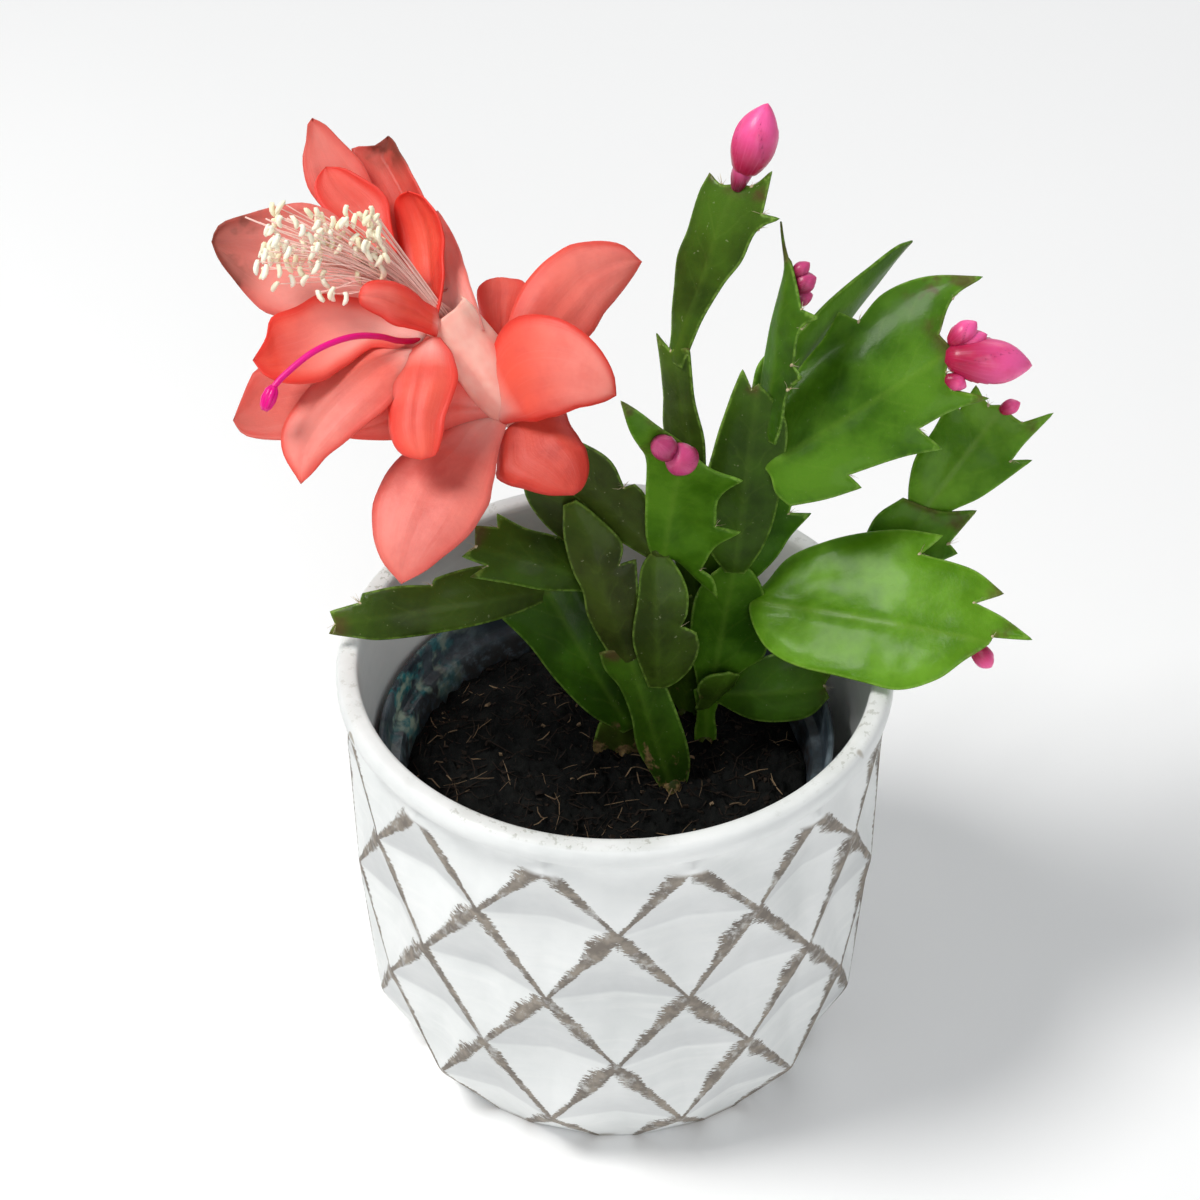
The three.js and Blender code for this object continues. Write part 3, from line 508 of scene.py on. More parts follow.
# radius and height, from the foot up the outside, round the collar and down the inside
NURSERY_PROFILE = [(37, 5.3), (38, 6.3), (50.5, 79.5), (52.6, 79.6), (53.2, 80.2), (53.75, 86.4), (54, 87.2),
                   (54, 88.1), (53.6, 88.5), (53.0, 88.5), (52.6, 88.1), (52.45, 87), (51.95, 81.6), (51.5, 80.9),
                   (49.3, 80.5), (48.9, 79.9), (48.3, 77), (47.2, 70), (37.1, 7.4), (36, 6.6)]


def build_nursery_pot():
    """A disc that is extruded and widened from one step of the profile to the next."""
    bpy.ops.object.select_all(action="DESELECT")
    radius, z = NURSERY_PROFILE[0]
    centre = (NURSERY_X * MM, 0, z * MM)
    bpy.ops.mesh.primitive_circle_add(vertices=NURSERY_SIDES, radius=radius * MM, fill_type="NGON", location=centre)
    piece = bpy.context.object
    piece.name = "nursery_pot_plastic"
    bpy.ops.object.mode_set(mode="EDIT")
    bpy.ops.mesh.select_mode(type="FACE")
    for (old_radius, old_z), (radius, z) in zip(NURSERY_PROFILE, NURSERY_PROFILE[1:]):
        bpy.ops.mesh.extrude_region_move(TRANSFORM_OT_translate={"value": (0, 0, (z - old_z) * MM)})
        bpy.ops.transform.resize(value=(radius / old_radius, radius / old_radius, 1),
                                 center_override=(NURSERY_X * MM, 0, z * MM))
    bpy.ops.mesh.select_all(action="SELECT")
    bpy.ops.mesh.normals_make_consistent(inside=False)
    bpy.ops.object.mode_set(mode="OBJECT")
    piece.data.transform(piece.matrix_basis)
    piece.matrix_basis = Matrix.Identity(4)
    bpy.ops.object.shade_smooth_by_angle(angle=math.radians(40))
    settle(piece, nursery_plastic(), "nursery_plastic", "nursery_pot")


# where soil marks the wall and where the crust begins, in metres
SOIL_MARKS = (0.0775, 0.0835)
CRUST_LEFT = (-0.055, -0.030)
CRUST_BACK = (-0.002, 0.014)
CRUST_FOOT = (0.072, 0.079)


def nursery_plastic():
    """Thin slate-coloured plastic, dusty, with soil marks and a crust of lime and algae inside."""
    material, w = new_material("nursery_plastic", roughness=0.42, specular=0.5)
    here = w.here()
    x, y, z = w.split(here)
    grime = w.noise(here, 75.0, detail=5.0, roughness=0.65)
    fine = w.noise(here, 420.0, detail=3.0, roughness=0.7)
    colour = w.mix(w.ramp(grime, 0.38, 0.66), srgb(46, 56, 64), srgb(98, 110, 118))
    low = w.times(w.ramp(z, *SOIL_MARKS, 1.0, 0.0), w.ramp(fine, 0.35, 0.55))
    colour = w.mix(w.times(low, 0.8), colour, srgb(38, 31, 26))
    # the crust keeps to the left back of the inside
    left = w.times(w.ramp(x, *CRUST_LEFT, 1.0, 0.0), w.ramp(y, *CRUST_BACK))
    patch = w.times(left, w.ramp(w.noise(here, 120.0, detail=3.0, roughness=0.6), 0.44, 0.56))
    crust = w.times(patch, w.ramp(z, *CRUST_FOOT))
    tint = w.mix(w.ramp(w.noise(here, 260.0, detail=3.0), 0.4, 0.62), srgb(30, 132, 138), srgb(178, 198, 176))
    colour = w.mix(w.times(crust, 0.85), colour, tint)
    rough = w.scaled(grime, 0.3, w.scaled(crust, 0.3, 0.22))
    height = w.scaled(crust, 1.2, w.times(fine, 0.25))
    dress(material, w, colour=colour, roughness=rough, normal=w.bump(height, 0.0005, 0.8))
    return material


# ---- soil ----
SOIL_TOP = 76.0
SOIL_R = 48.3
SOIL_RINGS = 62
SOIL_SPOKES = 176
SOIL_SPREAD = 0.92                 # rings lie closer together towards the wall
SOIL_FLOOR, FLOOR_SHARE = 7.2, 0.75
WALL_DIP, DIP_FROM, DIP_RUN = 1.9, 42, 6
# height, and how far it is from crest to crest along x and y
LUMPS = [(0.55, 6.1, 7.3), (0.55, 6.1, -7.3), (0.8, 3.7, -4.9), (0.5, 2.3, 2.9)]
CRUMBS = [(0, 0.42, 1.6), (9, 1.0, 1.3), (4, 2.2, 0.8)]      # layer of the noise, how fine, how high


def soil_height(x, y):
    """Height of the soil, with x measured from the nursery pot's middle."""
    lumps = sum(height * math.sin(x / along + y / over + 1) for height, along, over in LUMPS)
    crumb = sum(noise.noise(Vector((x, y, layer)) * fine) * height for layer, fine, height in CRUMBS)
    dip = WALL_DIP * max(0.0, (math.hypot(x, y) - DIP_FROM) / DIP_RUN) ** 2
    return SOIL_TOP + 0.8 * lumps + crumb - dip


def build_soil():
    """A crumbly top, laid out in rings, on a plain tapered body."""
    body = Flesh()
    points = [(NURSERY_X, 0, soil_height(0, 0))]
    faces = []
    for ring in range(1, SOIL_RINGS + 1):
        radius = SOIL_R * (ring / SOIL_RINGS) ** SOIL_SPREAD
        for k in range(SOIL_SPOKES):
            a = 2 * math.pi * (k + 0.5 * (ring % 2)) / SOIL_SPOKES
            x, y = radius * math.cos(a), radius * math.sin(a)
            points.append((x + NURSERY_X, y, soil_height(x, y)))
    for k in range(SOIL_SPOKES):
        faces.append([0, 1 + k, 1 + (k + 1) % SOIL_SPOKES])
    for ring in range(SOIL_RINGS - 1):
        for k in range(SOIL_SPOKES):
            n = (k + 1) % SOIL_SPOKES
            a, b = 1 + ring * SOIL_SPOKES, 1 + (ring + 1) * SOIL_SPOKES
            faces.append([a + k, b + k, b + n, a + n])
    rim, low = len(points) - SOIL_SPOKES, len(points)
    for x, y, _ in points[rim:low]:
        points.append(((x - NURSERY_X) * FLOOR_SHARE + NURSERY_X, y * FLOOR_SHARE, SOIL_FLOOR))
    for k in range(SOIL_SPOKES):
        n = (k + 1) % SOIL_SPOKES
        faces.append([rim + k, low + k, low + n, rim + n])
    faces.append(list(range(low, low + SOIL_SPOKES))[::-1])
    body.add(points, faces)
    body.piece("soil_body", peat(), "peat", "soil")
    build_litter()


def on_soil(reach, lift=0.0):
    """A random spot on the soil within the given radius."""
    a, r = draw.uniform(0, 2 * math.pi), reach * math.sqrt(draw.random())
    x, y = r * math.cos(a), r * math.sin(a)
    return Vector((x + NURSERY_X, y, soil_height(x, y) + lift))


FIBRES, GRAINS = 760, 420
FIBRE_REACH, GRAIN_REACH, LITTER_LIMIT = 46, 46.5, 47
FIBRE_STEPS = (-0.5, -0.2, 0.2, 0.5)
FIBRE_TAPER = (0.5, 1, 0.9, 0.4)
LONG_FIBRES, PALE_FIBRES, PALE_GRAINS = 0.15, 0.2, 0.07        # shares of all


def any_way():
    """A random direction, of no set length."""
    return Vector((draw.gauss(0, 1), draw.gauss(0, 1), draw.gauss(0, 1)))


def fibre_path():
    """A slightly bent line that lies on the soil, or nothing where it would reach past the wall."""
    spot = on_soil(FIBRE_REACH, 0.25)
    a = draw.uniform(0, 2 * math.pi)
    length = draw.uniform(1.5, 6) if draw.random() < 1 - LONG_FIBRES else draw.uniform(6, 13)
    way = Vector((math.cos(a), math.sin(a), draw.uniform(-0.1, 0.22)))
    bend = Vector((-way.y, way.x, 0.3)) * draw.uniform(-0.24, 0.24) * length
    path = [spot + way * length * t + bend * (0.25 - t * t) * 2 for t in FIBRE_STEPS]
    if any(math.hypot(p.x - NURSERY_X, p.y) >= LITTER_LIMIT for p in path):
        return None
    return [Vector((p.x, p.y, max(p.z, soil_height(p.x - NURSERY_X, p.y) + 0.1))) for p in path]


def build_litter():
    """Fibres, bark and grains that lie loose on the soil."""
    dark, pale = Flesh(), Flesh()
    for _ in range(FIBRES):
        path = fibre_path()
        if path:
            thick = draw.uniform(0.07, 0.19)
            rod = tube(path, [thick * share for share in FIBRE_TAPER], 4)
            (pale if draw.random() < PALE_FIBRES else dark).add(*rod, tone=draw.random())
    for _ in range(GRAINS):
        spot = on_soil(GRAIN_REACH, 0.1)
        corners, faces = chip(draw.uniform(0.3, 1.1))
        turn = Quaternion(any_way().normalized(), draw.uniform(0, 3))
        light = draw.random() < PALE_GRAINS
        (pale if light else dark).add([turn @ p + spot for p in corners], faces, tone=draw.random())
    dark.piece("soil_bark", litter("litter_dark", srgb(10, 9, 8), srgb(50, 40, 33)), "peat", flat=True)
    pale.piece("soil_fibres", litter("litter_pale", srgb(62, 48, 36), srgb(144, 122, 96)), "peat", flat=True)


def chip(size):
    """A small lump with eight uneven corners."""
    corners = []
    for i in range(8):
        side = Vector((1 if i & 1 else -1, 1 if i & 2 else -1, 1 if i & 4 else -1))
        corners.append(Vector((side.x * size * draw.uniform(0.4, 1.0), side.y * size * draw.uniform(0.3, 0.6),
                               side.z * size * draw.uniform(0.15, 0.4))))
    return corners, [[0, 2, 3, 1], [4, 5, 7, 6], [0, 1, 5, 4], [2, 6, 7, 3], [0, 4, 6, 2], [1, 3, 7, 5]]


def peat():
    """Nearly black, damp in the hollows, with browner crumbs."""
    material, w = new_material("peat", roughness=0.9, specular=0.08)
    here = w.here()
    coarse = w.noise(here, 160.0, detail=5.0, roughness=0.65)
    fine = w.noise(here, 900.0, detail=3.0, roughness=0.7)
    colour = w.mix(w.ramp(coarse, 0.36, 0.66), srgb(7, 8, 8), srgb(26, 27, 26))
    colour = w.mix(w.ramp(fine, 0.62, 0.74, 0.0, 0.4), colour, srgb(54, 44, 36))
    height = w.scaled(coarse, 1.4, w.times(fine, 0.6))
    rough = w.ramp(coarse, 0.3, 0.7, 0.62, 0.95)
    dress(material, w, colour=colour, roughness=rough, normal=w.bump(height, 0.0009, 1.0))
    return material


def litter(name, dark, light):
    """A dry fibre or grain, lighter or darker by its tone."""
    material, w = new_material(name, roughness=0.8, specular=0.15)
    here = w.here()
    grain = w.noise(here, 700.0, detail=3.0)
    share = w.scaled(grain, 0.5, w.times(w.value("tone"), 0.6), clamp=True)
    colour = w.mix(share, dark, light)
    dress(material, w, colour=colour, normal=w.bump(grain, 0.0003, 0.8))
    return material


# ---- stems ----
# A segment grows from one point to another. left and right are the corners of its two margins,
# as (along, out) from its foot and its midrib; across is the way its right half points.
STEMS = {
  "stem_left": {
    "foot": { "at": [2, 5], "radius": 4.5 },
    "segments": [
      { "from": [2, 5, 72], "to": [1, 5, 90], "across": [1, 0, 0],
        "left": [[4, -6.5], [12, -5.5], [17, -3]], "right": [[4, 6], [12, 6], [17, 3]] },
      { "from": [3, 5, 86], "to": [-17, 16, 121], "across": [0.88, 0.16, 0.44], "bow": -2,
        "left": [[6.5, -6.5], [17.5, -9], [29.5, -10.5], [39, -13], [39, -10], [45, -10], [43, -5]],
        "right": [[6, 6], [16, 8.5], [26, 9], [32, 11.5], [33, 8], [41, 9.5], [41, 4]] },
      { "from": [-17, 15, 119], "to": [-65, 4, 118], "across": [-0.2, 0.55, 0.82], "bow": -4, "cup": 1,
        "left": [[6, -4], [14, -5], [26, -5.5], [40, -5], [46, -3.5], [51, -2]],
        "right": [[6, 6], [14, 8], [25, 7], [26, 5.5], [34, 6.5], [42, 6], [43, 4], [50, 3]] },
    ],
  },
  "stem_flower": {
    "foot": { "at": [14, -6], "radius": 4.5 },
    "segments": [
      { "from": [14, -6, 74], "to": [3, -1, 114], "across": [0.96, 0.03, 0.28],
        "left": [[6, -3.5], [14, -5], [24, -4], [32, -4.5], [38, -6.5], [43, -6.5], [43, -3]],
        "right": [[0, 3], [6, 5.5], [13, 6.5], [21, 6.5], [28, 6], [33, 5.5], [38, 5]] },
      { "from": [3, -1, 112], "to": [-9, 10, 150], "across": [0.94, 0.1, 0.33], "bow": -2,
        "left": [[3, -4], [14, -5.5], [20, -4.8], [26, -5.5], [34, -5], [41, -3]],
        "right": [[2, 5.5], [9, 8], [10, 5.5], [24, 9], [24, 5], [28, 7], [31, 6.5], [38, 2.5]] },
      { "from": [-4, 8, 128], "to": [-32, 8, 138], "across": [0.26, 0.62, 0.74], "bow": -3, "cup": 1,
        "left": [[6, -4], [13, -5.5], [20, -6], [29, -7], [26, -3.5], [32, -3]],
        "right": [[4, 5], [12, 7], [20, 7], [27, 8.5], [26, 5.5], [31, 4.5]] },
      { "from": [-4, 10, 132], "to": [-18, 14, 158], "across": [0.87, 0, 0.49],
        "left": [[6, -3.5], [14, -6], [22, -6.5], [28, -4]],
        "right": [[6, 4], [14, 6], [23, 7], [28, 3]] },
      { "from": [10, -3, 107], "to": [9, 6, 139], "across": [1, 0.02, 0.07], "bow": -2,
        "left": [[4, -4], [12, -5.5], [22, -4], [29, -3]],
        "right": [[2, 7], [8, 9.5], [12.5, 9], [14.5, 5.5], [18, 7], [24, 7], [30, 4]] },
      { "from": [11, 6, 138], "to": [15, -2, 175], "across": [1, 0.02, -0.06], "bow": 2, "cup": -1.5,
        "left": [[5, -4.5], [18, -6], [34, -8], [46, -13], [56, -16], [49, -10], [42, -4]],
        "right": [[-3, 4], [-8, 9], [-12, 14], [-6, 12], [-4, 9], [4, 11], [12, 16],
          [11, 10.5], [20, 10], [29, 14], [30, 8], [34, 3]] },
      { "from": [10, 6, 138], "to": [-17, 15, 164.5], "across": [0.71, 0, 0.71], "bow": 1,
        "left": [[4, -4], [12, -6], [20, -5], [28, -5.5], [37, -3.5]],
        "right": [[5, 4], [13, 7.5], [16, 7.5], [17, 5], [24, 7.5], [31, 6], [37, 3]] },
    ],
  },
  "stem_trunk": {
    "foot": { "at": [22, 10], "radius": 3 },
    "segments": [
      { "from": [22, 10, 74], "to": [22, 10, 94], "across": [1, 0, 0],
        "left": [[4, -2.5], [10, -2], [15, -2.5], [18, -3]], "right": [[4, 2.5], [10, 2], [15, 3], [18, 3]] },
      { "from": [22, 9, 88], "to": [27, 6, 101], "across": [0.8, 0.4, -0.3], "cup": 4,
        "left": [[3, -3], [7, -5], [12, -4]], "right": [[3, 3], [7, 4.5], [12, 4]] },
      { "from": [23, 10, 91], "to": [28, 12, 131], "across": [1, 0, -0.12], "bow": 1.5,
        "left": [[4, -4], [12, -6.5], [26, -7.5], [34, -5]],
        "right": [[6, 6], [12, 11], [20, 10.5], [29, 8.5], [36, 5]] },
      { "from": [26, 10, 91], "to": [50, 9, 94], "across": [-0.1, 0.45, 0.88], "bow": 2,
        "left": [[5, -6], [12, -7.5], [20, -7], [25, -3]],
        "right": [[5, 6], [13, 9], [21, 8], [26, 3]] },
      { "from": [28, 12, 129], "to": [32, 18, 177], "across": [1, 0, -0.08], "bow": 1,
        "left": [[5, -7], [20, -9], [31, -8], [38, -7], [46, -5.5], [52, -4], [47, -1.5]],
        "right": [[5, 5.5], [13, 7.5], [25, 8], [38, 7.5], [44, 4]] },
      { "from": [31, 15, 125], "to": [37, 17, 157], "across": [0.98, 0, -0.18], "bow": 1,
        "left": [[6, -3], [16, -5], [26, -4]],
        "right": [[5, 6], [11, 8], [18, 11], [17, 6], [26, 6], [31, 4]] },
      { "from": [36, 16, 156], "to": [76, 25, 181], "across": [-0.51, 0.63, 0.59], "cup": -1,
        "left": [[-3, -6], [-2, -10], [6, -13], [14, -15], [13, -11], [26, -14], [34, -17],
          [32, -10.5], [41, -11], [49, -13], [43, -7], [44, -3]],
        "right": [[2, 6], [9, 11], [16, 15.5], [24, 18.5], [30, 22], [33, 17.5], [41, 20],
          [51, 18], [62, 11], [54, 10.5], [47, 5]] },
      { "from": [35, 17, 164], "to": [39, 30, 202], "across": [0.59, -0.77, 0.23], "bow": -1,
        "left": [[5, -3.5], [14, -4.5], [24, -3.5], [33, -2], [39, -1.6], [48, -5], [41, -1]],
        "right": [[4, 4], [12, 5], [16, 9], [18, 5.5], [27, 7], [31, 12], [31, 6], [37, 2]] },
      { "from": [32, 22.5, 165], "to": [68, 55, 190.5], "across": [-0.58, -0.05, 0.81], "bow": -2, "twist": 0.7,
        "left": [[6, -5], [16, -7], [26, -6.5], [34, -6], [42, -5], [50, -2.5]],
        "right": [[3, 5.5], [8, 9], [14, 8.5], [21, 6], [31, 5], [41, 4.5], [51, 3]] },
      { "from": [34, 11, 118], "to": [85, -10, 124], "across": [0.17, 0.83, 0.53], "bow": 2,
        "left": [[3, -9], [8, -12], [14, -13.5], [22, -14], [30, -14.5], [38, -14.5], [46, -10.5], [51, -5]],
        "right": [[0, 5], [4, 12], [12, 17], [20, 20.5], [30, 23], [39, 23.5], [35, 18], [48, 16.5],
          [56, 12.5], [50, 9], [57, 7], [65, 3], [56, 2]] },
    ],
  },
  "stem_right": {
    "foot": { "at": [31, 23], "radius": 3 },
    "segments": [
      { "from": [31, 23, 74], "to": [46, 19, 109], "across": [0.3, 0.95, 0],
        "left": [[5, -4], [18, -4.5], [34, -4]], "right": [[5, 4], [18, 4.5], [34, 4]] },
      { "from": [45, 19, 107], "to": [62, 16, 117], "across": [0.2, 0.95, 0],
        "left": [[4, -3.5], [10, -4.5], [17, -4]], "right": [[4, 3.5], [10, 4.5], [17, 4]] },
      { "from": [60, 16, 115], "to": [73, 26, 135], "across": [0.84, -0.25, -0.48],
        "left": [[5, -6], [10, -8], [18, -9], [25, -6]],
        "right": [[6, 5], [14, 8], [20, 12], [21, 9], [31, 10.5], [27, 4]] },
      { "from": [72, 26, 133], "to": [90, 36, 157], "across": [0.8, -0.24, -0.54], "bow": 1,
        "left": [[4, -6.5], [10, -9], [18, -9.5], [26, -11], [25, -7.5], [32, -8], [30, -3]],
        "right": [[4, 5], [11, 9], [25, 13.5], [22, 9.5], [28, 9.5], [37, 10.5], [31, 6], [31, 3]] },
    ],
  },
  "stem_tall": {
    "foot": { "at": [17, 19], "radius": 3.5 },
    "segments": [
      { "from": [17, 19, 74], "to": [20, 20, 114], "across": [0.9, -0.3, 0],
        "left": [[5, -4], [14, -5.5], [26, -5], [36, -4]], "right": [[5, 4], [14, 5.5], [26, 5], [36, 4]] },
      { "from": [20, 20, 112], "to": [19, 20, 149], "across": [0.84, -0.49, 0.1],
        "left": [[4, -4.5], [12, -7], [22, -6.5], [33, -4.5]], "right": [[4, 4], [12, 6], [22, 6], [33, 4]] },
      { "from": [19, 20, 147], "to": [14, 26, 181], "across": [0.84, -0.49, 0.23],
        "left": [[5, -5], [13, -7], [23, -5.5], [38, -5], [34, -2]],
        "right": [[5, 2.8], [13, 3.4], [24, 2.6], [35, 2.8]] },
      { "from": [14, 26, 179], "to": [27, 38, 217], "across": [0.73, -0.68, -0.02],
        "left": [[4, -3.5], [12, -6.5], [20, -9], [27, -8.5], [36, -9], [41, -8], [40, -4]],
        "right": [[6, 2.5], [13, 3.2], [20, 4.8], [27, 7.5], [35, 8.8], [39.5, 13], [38.5, 8.5],
          [48, 7], [43, 3.5]] },
    ],
  },
}

# How much each segment is: fresh (bright green) and cork (brown scars, from its foot up).
SEGMENT_LOOKS = {
    "stem_left": [(0.05, 0.8), (0.36, 0.1), (0.1, 0.1)],
    "stem_flower": [(0.3, 0.5), (0.03, 0.14), (0.18, 0.0), (0.06, 0.0), (0.12, 0.08), (0.62, 0.0), (0.05, 0.05)],
    "stem_trunk": [(0.6, 0.0), (0.2, 0.3), (0.46, 0.06), (0.3, 0.0), (0.22, 0.04), (0.4, 0.0), (0.56, 0.0),
                   (0.34, 0.0), (0.66, 0.0), (0.96, 0.0)],
    "stem_right": [(0.3, 0.4), (0.3, 0.2), (0.62, 0.05), (0.9, 0.0)],
    "stem_tall": [(0.2, 0.3), (0.25, 0.1), (0.12, 0.05), (0.2, 0.0)],
}
STEM_SLOTS = {"stem_left": "stem_green_dark", "stem_flower": "stem_green_old", "stem_trunk": "stem_green_fresh",
              "stem_right": "stem_green_back", "stem_tall": "stem_green_dull"}
GRAIN = 1.25                 # distance between points inside a segment
GRAIN_ROW = 0.866            # distance between rows of them, as a share of that
GRAIN_FROM_EDGE = 0.55
MARGIN_STEP = 0.9
SHARP = math.radians(52)     # a corner that turns more than this stays sharp
EDGE_HALF = 0.3              # half the thickness, at the margin and inside
BODY_HALF = 0.75
EDGE_RUN = 3.2               # how far in the margin goes over into the body
RIB_HALF, RIB_LIFT = 1.5, 0.5
BRIM = 0.22                  # how far the rounded edge stands out
WAVE, WAVE_FROM = 0.9, 8     # height of the waves, and where they are in full
WAVE_ALONG, WAVE_OUT = 15, 11
DIMPLE, DIMPLE_SIZE = 0.12, 4.2
UV_SPAN = 50                 # millimetres to one unit of the pattern
ROOT, ROOT_HALF = 2.0, 2.2   # how deep a segment's foot is sunk, and half its width
NOTCH = 0.5                  # the sine of the turn that makes a notch


def margin(corners):
    """The outline through its corners: teeth and notches stay sharp, the rest runs smoothly."""
    count = len(corners)
    p = [Vector(c) for c in corners]
    sharp = []
    for i in range(count):
        a, b = p[i] - p[i - 1], p[(i + 1) % count] - p[i]
        sharp.append(a.length < 1e-6 or b.length < 1e-6 or a.angle(b, 0) > SHARP)
    line = []
    for i in range(count):
        here, there = p[i], p[(i + 1) % count]
        chord = there - here
        before, after = p[i - 1], p[(i + 2) % count]
        leave = chord if sharp[i] else (there - before).normalized() * chord.length
        reach = chord if sharp[(i + 1) % count] else (after - here).normalized() * chord.length
        steps = max(2, round(chord.length / MARGIN_STEP))
        for s in range(steps):
            t = s / steps
            line.append(here * (2 * t ** 3 - 3 * t * t + 1) + leave * (t ** 3 - 2 * t * t + t)
                        + there * (3 * t * t - 2 * t ** 3) + reach * (t ** 3 - t * t))
    return line


def inside(points, line):
    """Which points lie inside the closed line, and how far each is from it."""
    p = np.array(points, float)
    a = np.array([tuple(q) for q in line], float)
    b = np.roll(a, -1, 0)
    crossing = np.zeros(len(p), int)
    nearest = np.full(len(p), 1e9)
    for (ax, ay), (bx, by) in zip(a, b):
        if ay != by:
            over = ((ay > p[:, 1]) != (by > p[:, 1])) & (p[:, 0] < (bx - ax) * (p[:, 1] - ay) / (by - ay) + ax)
            crossing += over
        span = np.array([bx - ax, by - ay])
        t = np.clip(((p - (ax, ay)) @ span) / max(span @ span, 1e-12), 0, 1)
        nearest = np.minimum(nearest, np.linalg.norm(p - (ax, ay) - t[:, None] * span, axis=1))
    return crossing % 2 == 1, nearest


def fill(line):
    """Triangles inside a closed line, between its points and a grid of points well inside it."""
    low = (min(q.x for q in line), min(q.y for q in line))
    high = (max(q.x for q in line), max(q.y for q in line))
    grid, row, y = [], 0, low[1]
    while y < high[1]:
        x = low[0] + (row % 2) * GRAIN / 2
        while x < high[0]:
            grid.append((x, y))
            x += GRAIN
        y += GRAIN * GRAIN_ROW
        row += 1
    keep, away = inside(grid, line)
    grid = [g for g, k, d in zip(grid, keep, away) if k and d > GRAIN_FROM_EDGE]
    ring = len(line)
    made = delaunay_2d_cdt([Vector(q) for q in line] + [Vector(g) for g in grid],
                           [(i, (i + 1) % ring) for i in range(ring)], [list(range(ring))], 1, 1e-5)
    flat, triangles = [Vector(q) for q in made[0]], [list(f) for f in made[2]]
    for f in triangles:
        if (flat[f[1]] - flat[f[0]]).cross(flat[f[2]] - flat[f[0]]) < 0:
            f.reverse()
    return flat, triangles


def grow_segment(flesh, hairs, plan, look, number):
    """A flat, waved segment with a midrib, from a plan as given in STEMS."""
    start, end = Vector(plan["from"]), Vector(plan["to"])
    axis = end - start
    length = axis.length
    axis.normalize()
    side = Vector(plan["across"])
    side = (side - axis * side.dot(axis)).normalized()
    bow, cup, twist = plan.get("bow", 0), plan.get("cup", 0), plan.get("twist", 0)
    seed = Vector((number * 7.3, number * 3.1, 0))

    def turned(along):
        t = min(max(along / length, 0), 1)
        return t, Quaternion(axis, twist * t) @ side

    def place(along, out, wave=0):
        t, across = turned(along)
        lift = bow * math.sin(math.pi * t) + cup * (out / 10) ** 2 + wave
        return start + axis * along + across * out + axis.cross(across) * lift

    def waved(along, out):
        wave = noise.noise(Vector((along / WAVE_ALONG, out / WAVE_OUT, 0)) + seed) * WAVE
        return place(along, out, wave * min(1.0, max(0.0, along / WAVE_FROM)))

    corners = [(-ROOT, -ROOT_HALF)] + plan["left"] + [(length, 0)] + plan["right"][::-1] + [(-ROOT, ROOT_HALF)]
    line = margin(corners)
    flat, triangles = fill(line)
    border = open_edges(triangles)
    _, edge = inside([tuple(q) for q in flat], line)
    middle = [waved(*q) for q in flat]
    normals = point_normals(middle, triangles)
    runs, outs = np.array([tuple(q) for q in flat]).T
    rib = np.exp(-(outs / RIB_HALF) ** 2) * np.clip(1.15 - runs / length * 0.75, 0.2, 1)
    half = EDGE_HALF + (BODY_HALF - EDGE_HALF) * smooth(edge / EDGE_RUN) + RIB_LIFT * rib * smooth(edge / 2.0)
    dimple = [noise.noise(Vector((q.x / DIMPLE_SIZE, q.y / DIMPLE_SIZE, 5)) + seed) for q in flat]
    lift = normals * (half + np.array(dimple) * DIMPLE * smooth(edge / 2))[:, None]
    middle = np.array([tuple(m) for m in middle])
    count = len(flat)
    faces = both_sides(triangles, count)
    # the margin is rounded by a line of points a little outside it
    brim = sorted({i for pair in border for i in pair})
    brim_at = {i: 2 * count + k for k, i in enumerate(brim)}
    outward = np.zeros((count, 2))
    for a, b in border:
        step = flat[b] - flat[a]
        for i in (a, b):
            outward[i] += (step.y, -step.x)
    outward /= np.maximum(np.linalg.norm(outward, axis=1, keepdims=True), 1e-9)
    brim_points = []
    for i in brim:
        across = np.array(turned(flat[i].x)[1])
        brim_points.append(middle[i] + (np.array(axis) * outward[i][0] + across * outward[i][1]) * BRIM)
    for a, b in border:
        faces.append([b, a, brim_at[a], brim_at[b]])
        faces.append([b + count, brim_at[b], brim_at[a], a + count])
    edges = np.concatenate([edge, edge, np.zeros(len(brim))])
    runs = np.concatenate([runs, runs, runs[brim]])
    outs = np.concatenate([outs, outs, outs[brim]])
    fresh, cork = look
    flesh.add(np.concatenate([middle + lift, middle - lift, np.array(brim_points)]), faces,
              uv=list(zip(runs / UV_SPAN + number, outs / UV_SPAN)), edge=edges, rib=np.abs(outs), run=runs / length,
              fresh=fresh, cork=cork * np.clip(1.25 - runs / (length * 0.9), 0, 1))
    grow_hairs(hairs, corners, place)


def grow_hairs(hairs, corners, place):
    """A few pale bristles and a speck of wool in each notch of the margin."""
    for i in range(1, len(corners) - 1):
        before, here, after = (Vector(corners[k]) for k in (i - 1, i, i + 1))
        turn = (here - before).cross(after - here)
        if abs(here.x) <= 3 or turn >= -NOTCH * (here - before).length * (after - here).length:
            continue
        spot = place(here.x, here.y)
        way = (place(here.x + 1, here.y + (0.9 if here.y > 0 else -0.9)) - spot).normalized()
        hairs.add(*tube([spot - way * 0.5, spot + way * 0.1, spot + way * 0.45], [0.25, 0.42, 0.12], 6), tone=0.35)
        for _ in range(draw.randint(3, 6)):
            lean = any_way() * 0.42
            tip = spot + (way + lean).normalized() * draw.uniform(1.0, 2.9)
            bend = (spot + tip) / 2 + Vector((0, 0, draw.uniform(-0.3, 0.3)))
            hairs.add(*tube([spot, bend, tip], [0.07, 0.055, 0.02], 3), tone=draw.random())


FOOT_SIDES = 18
# height, and the share of a foot's radius there
FOOT_PROFILE = [(63, 0.7), (70, 0.8), (74, 0.72), (76.5, 0.5), (78.2, 0.15)]


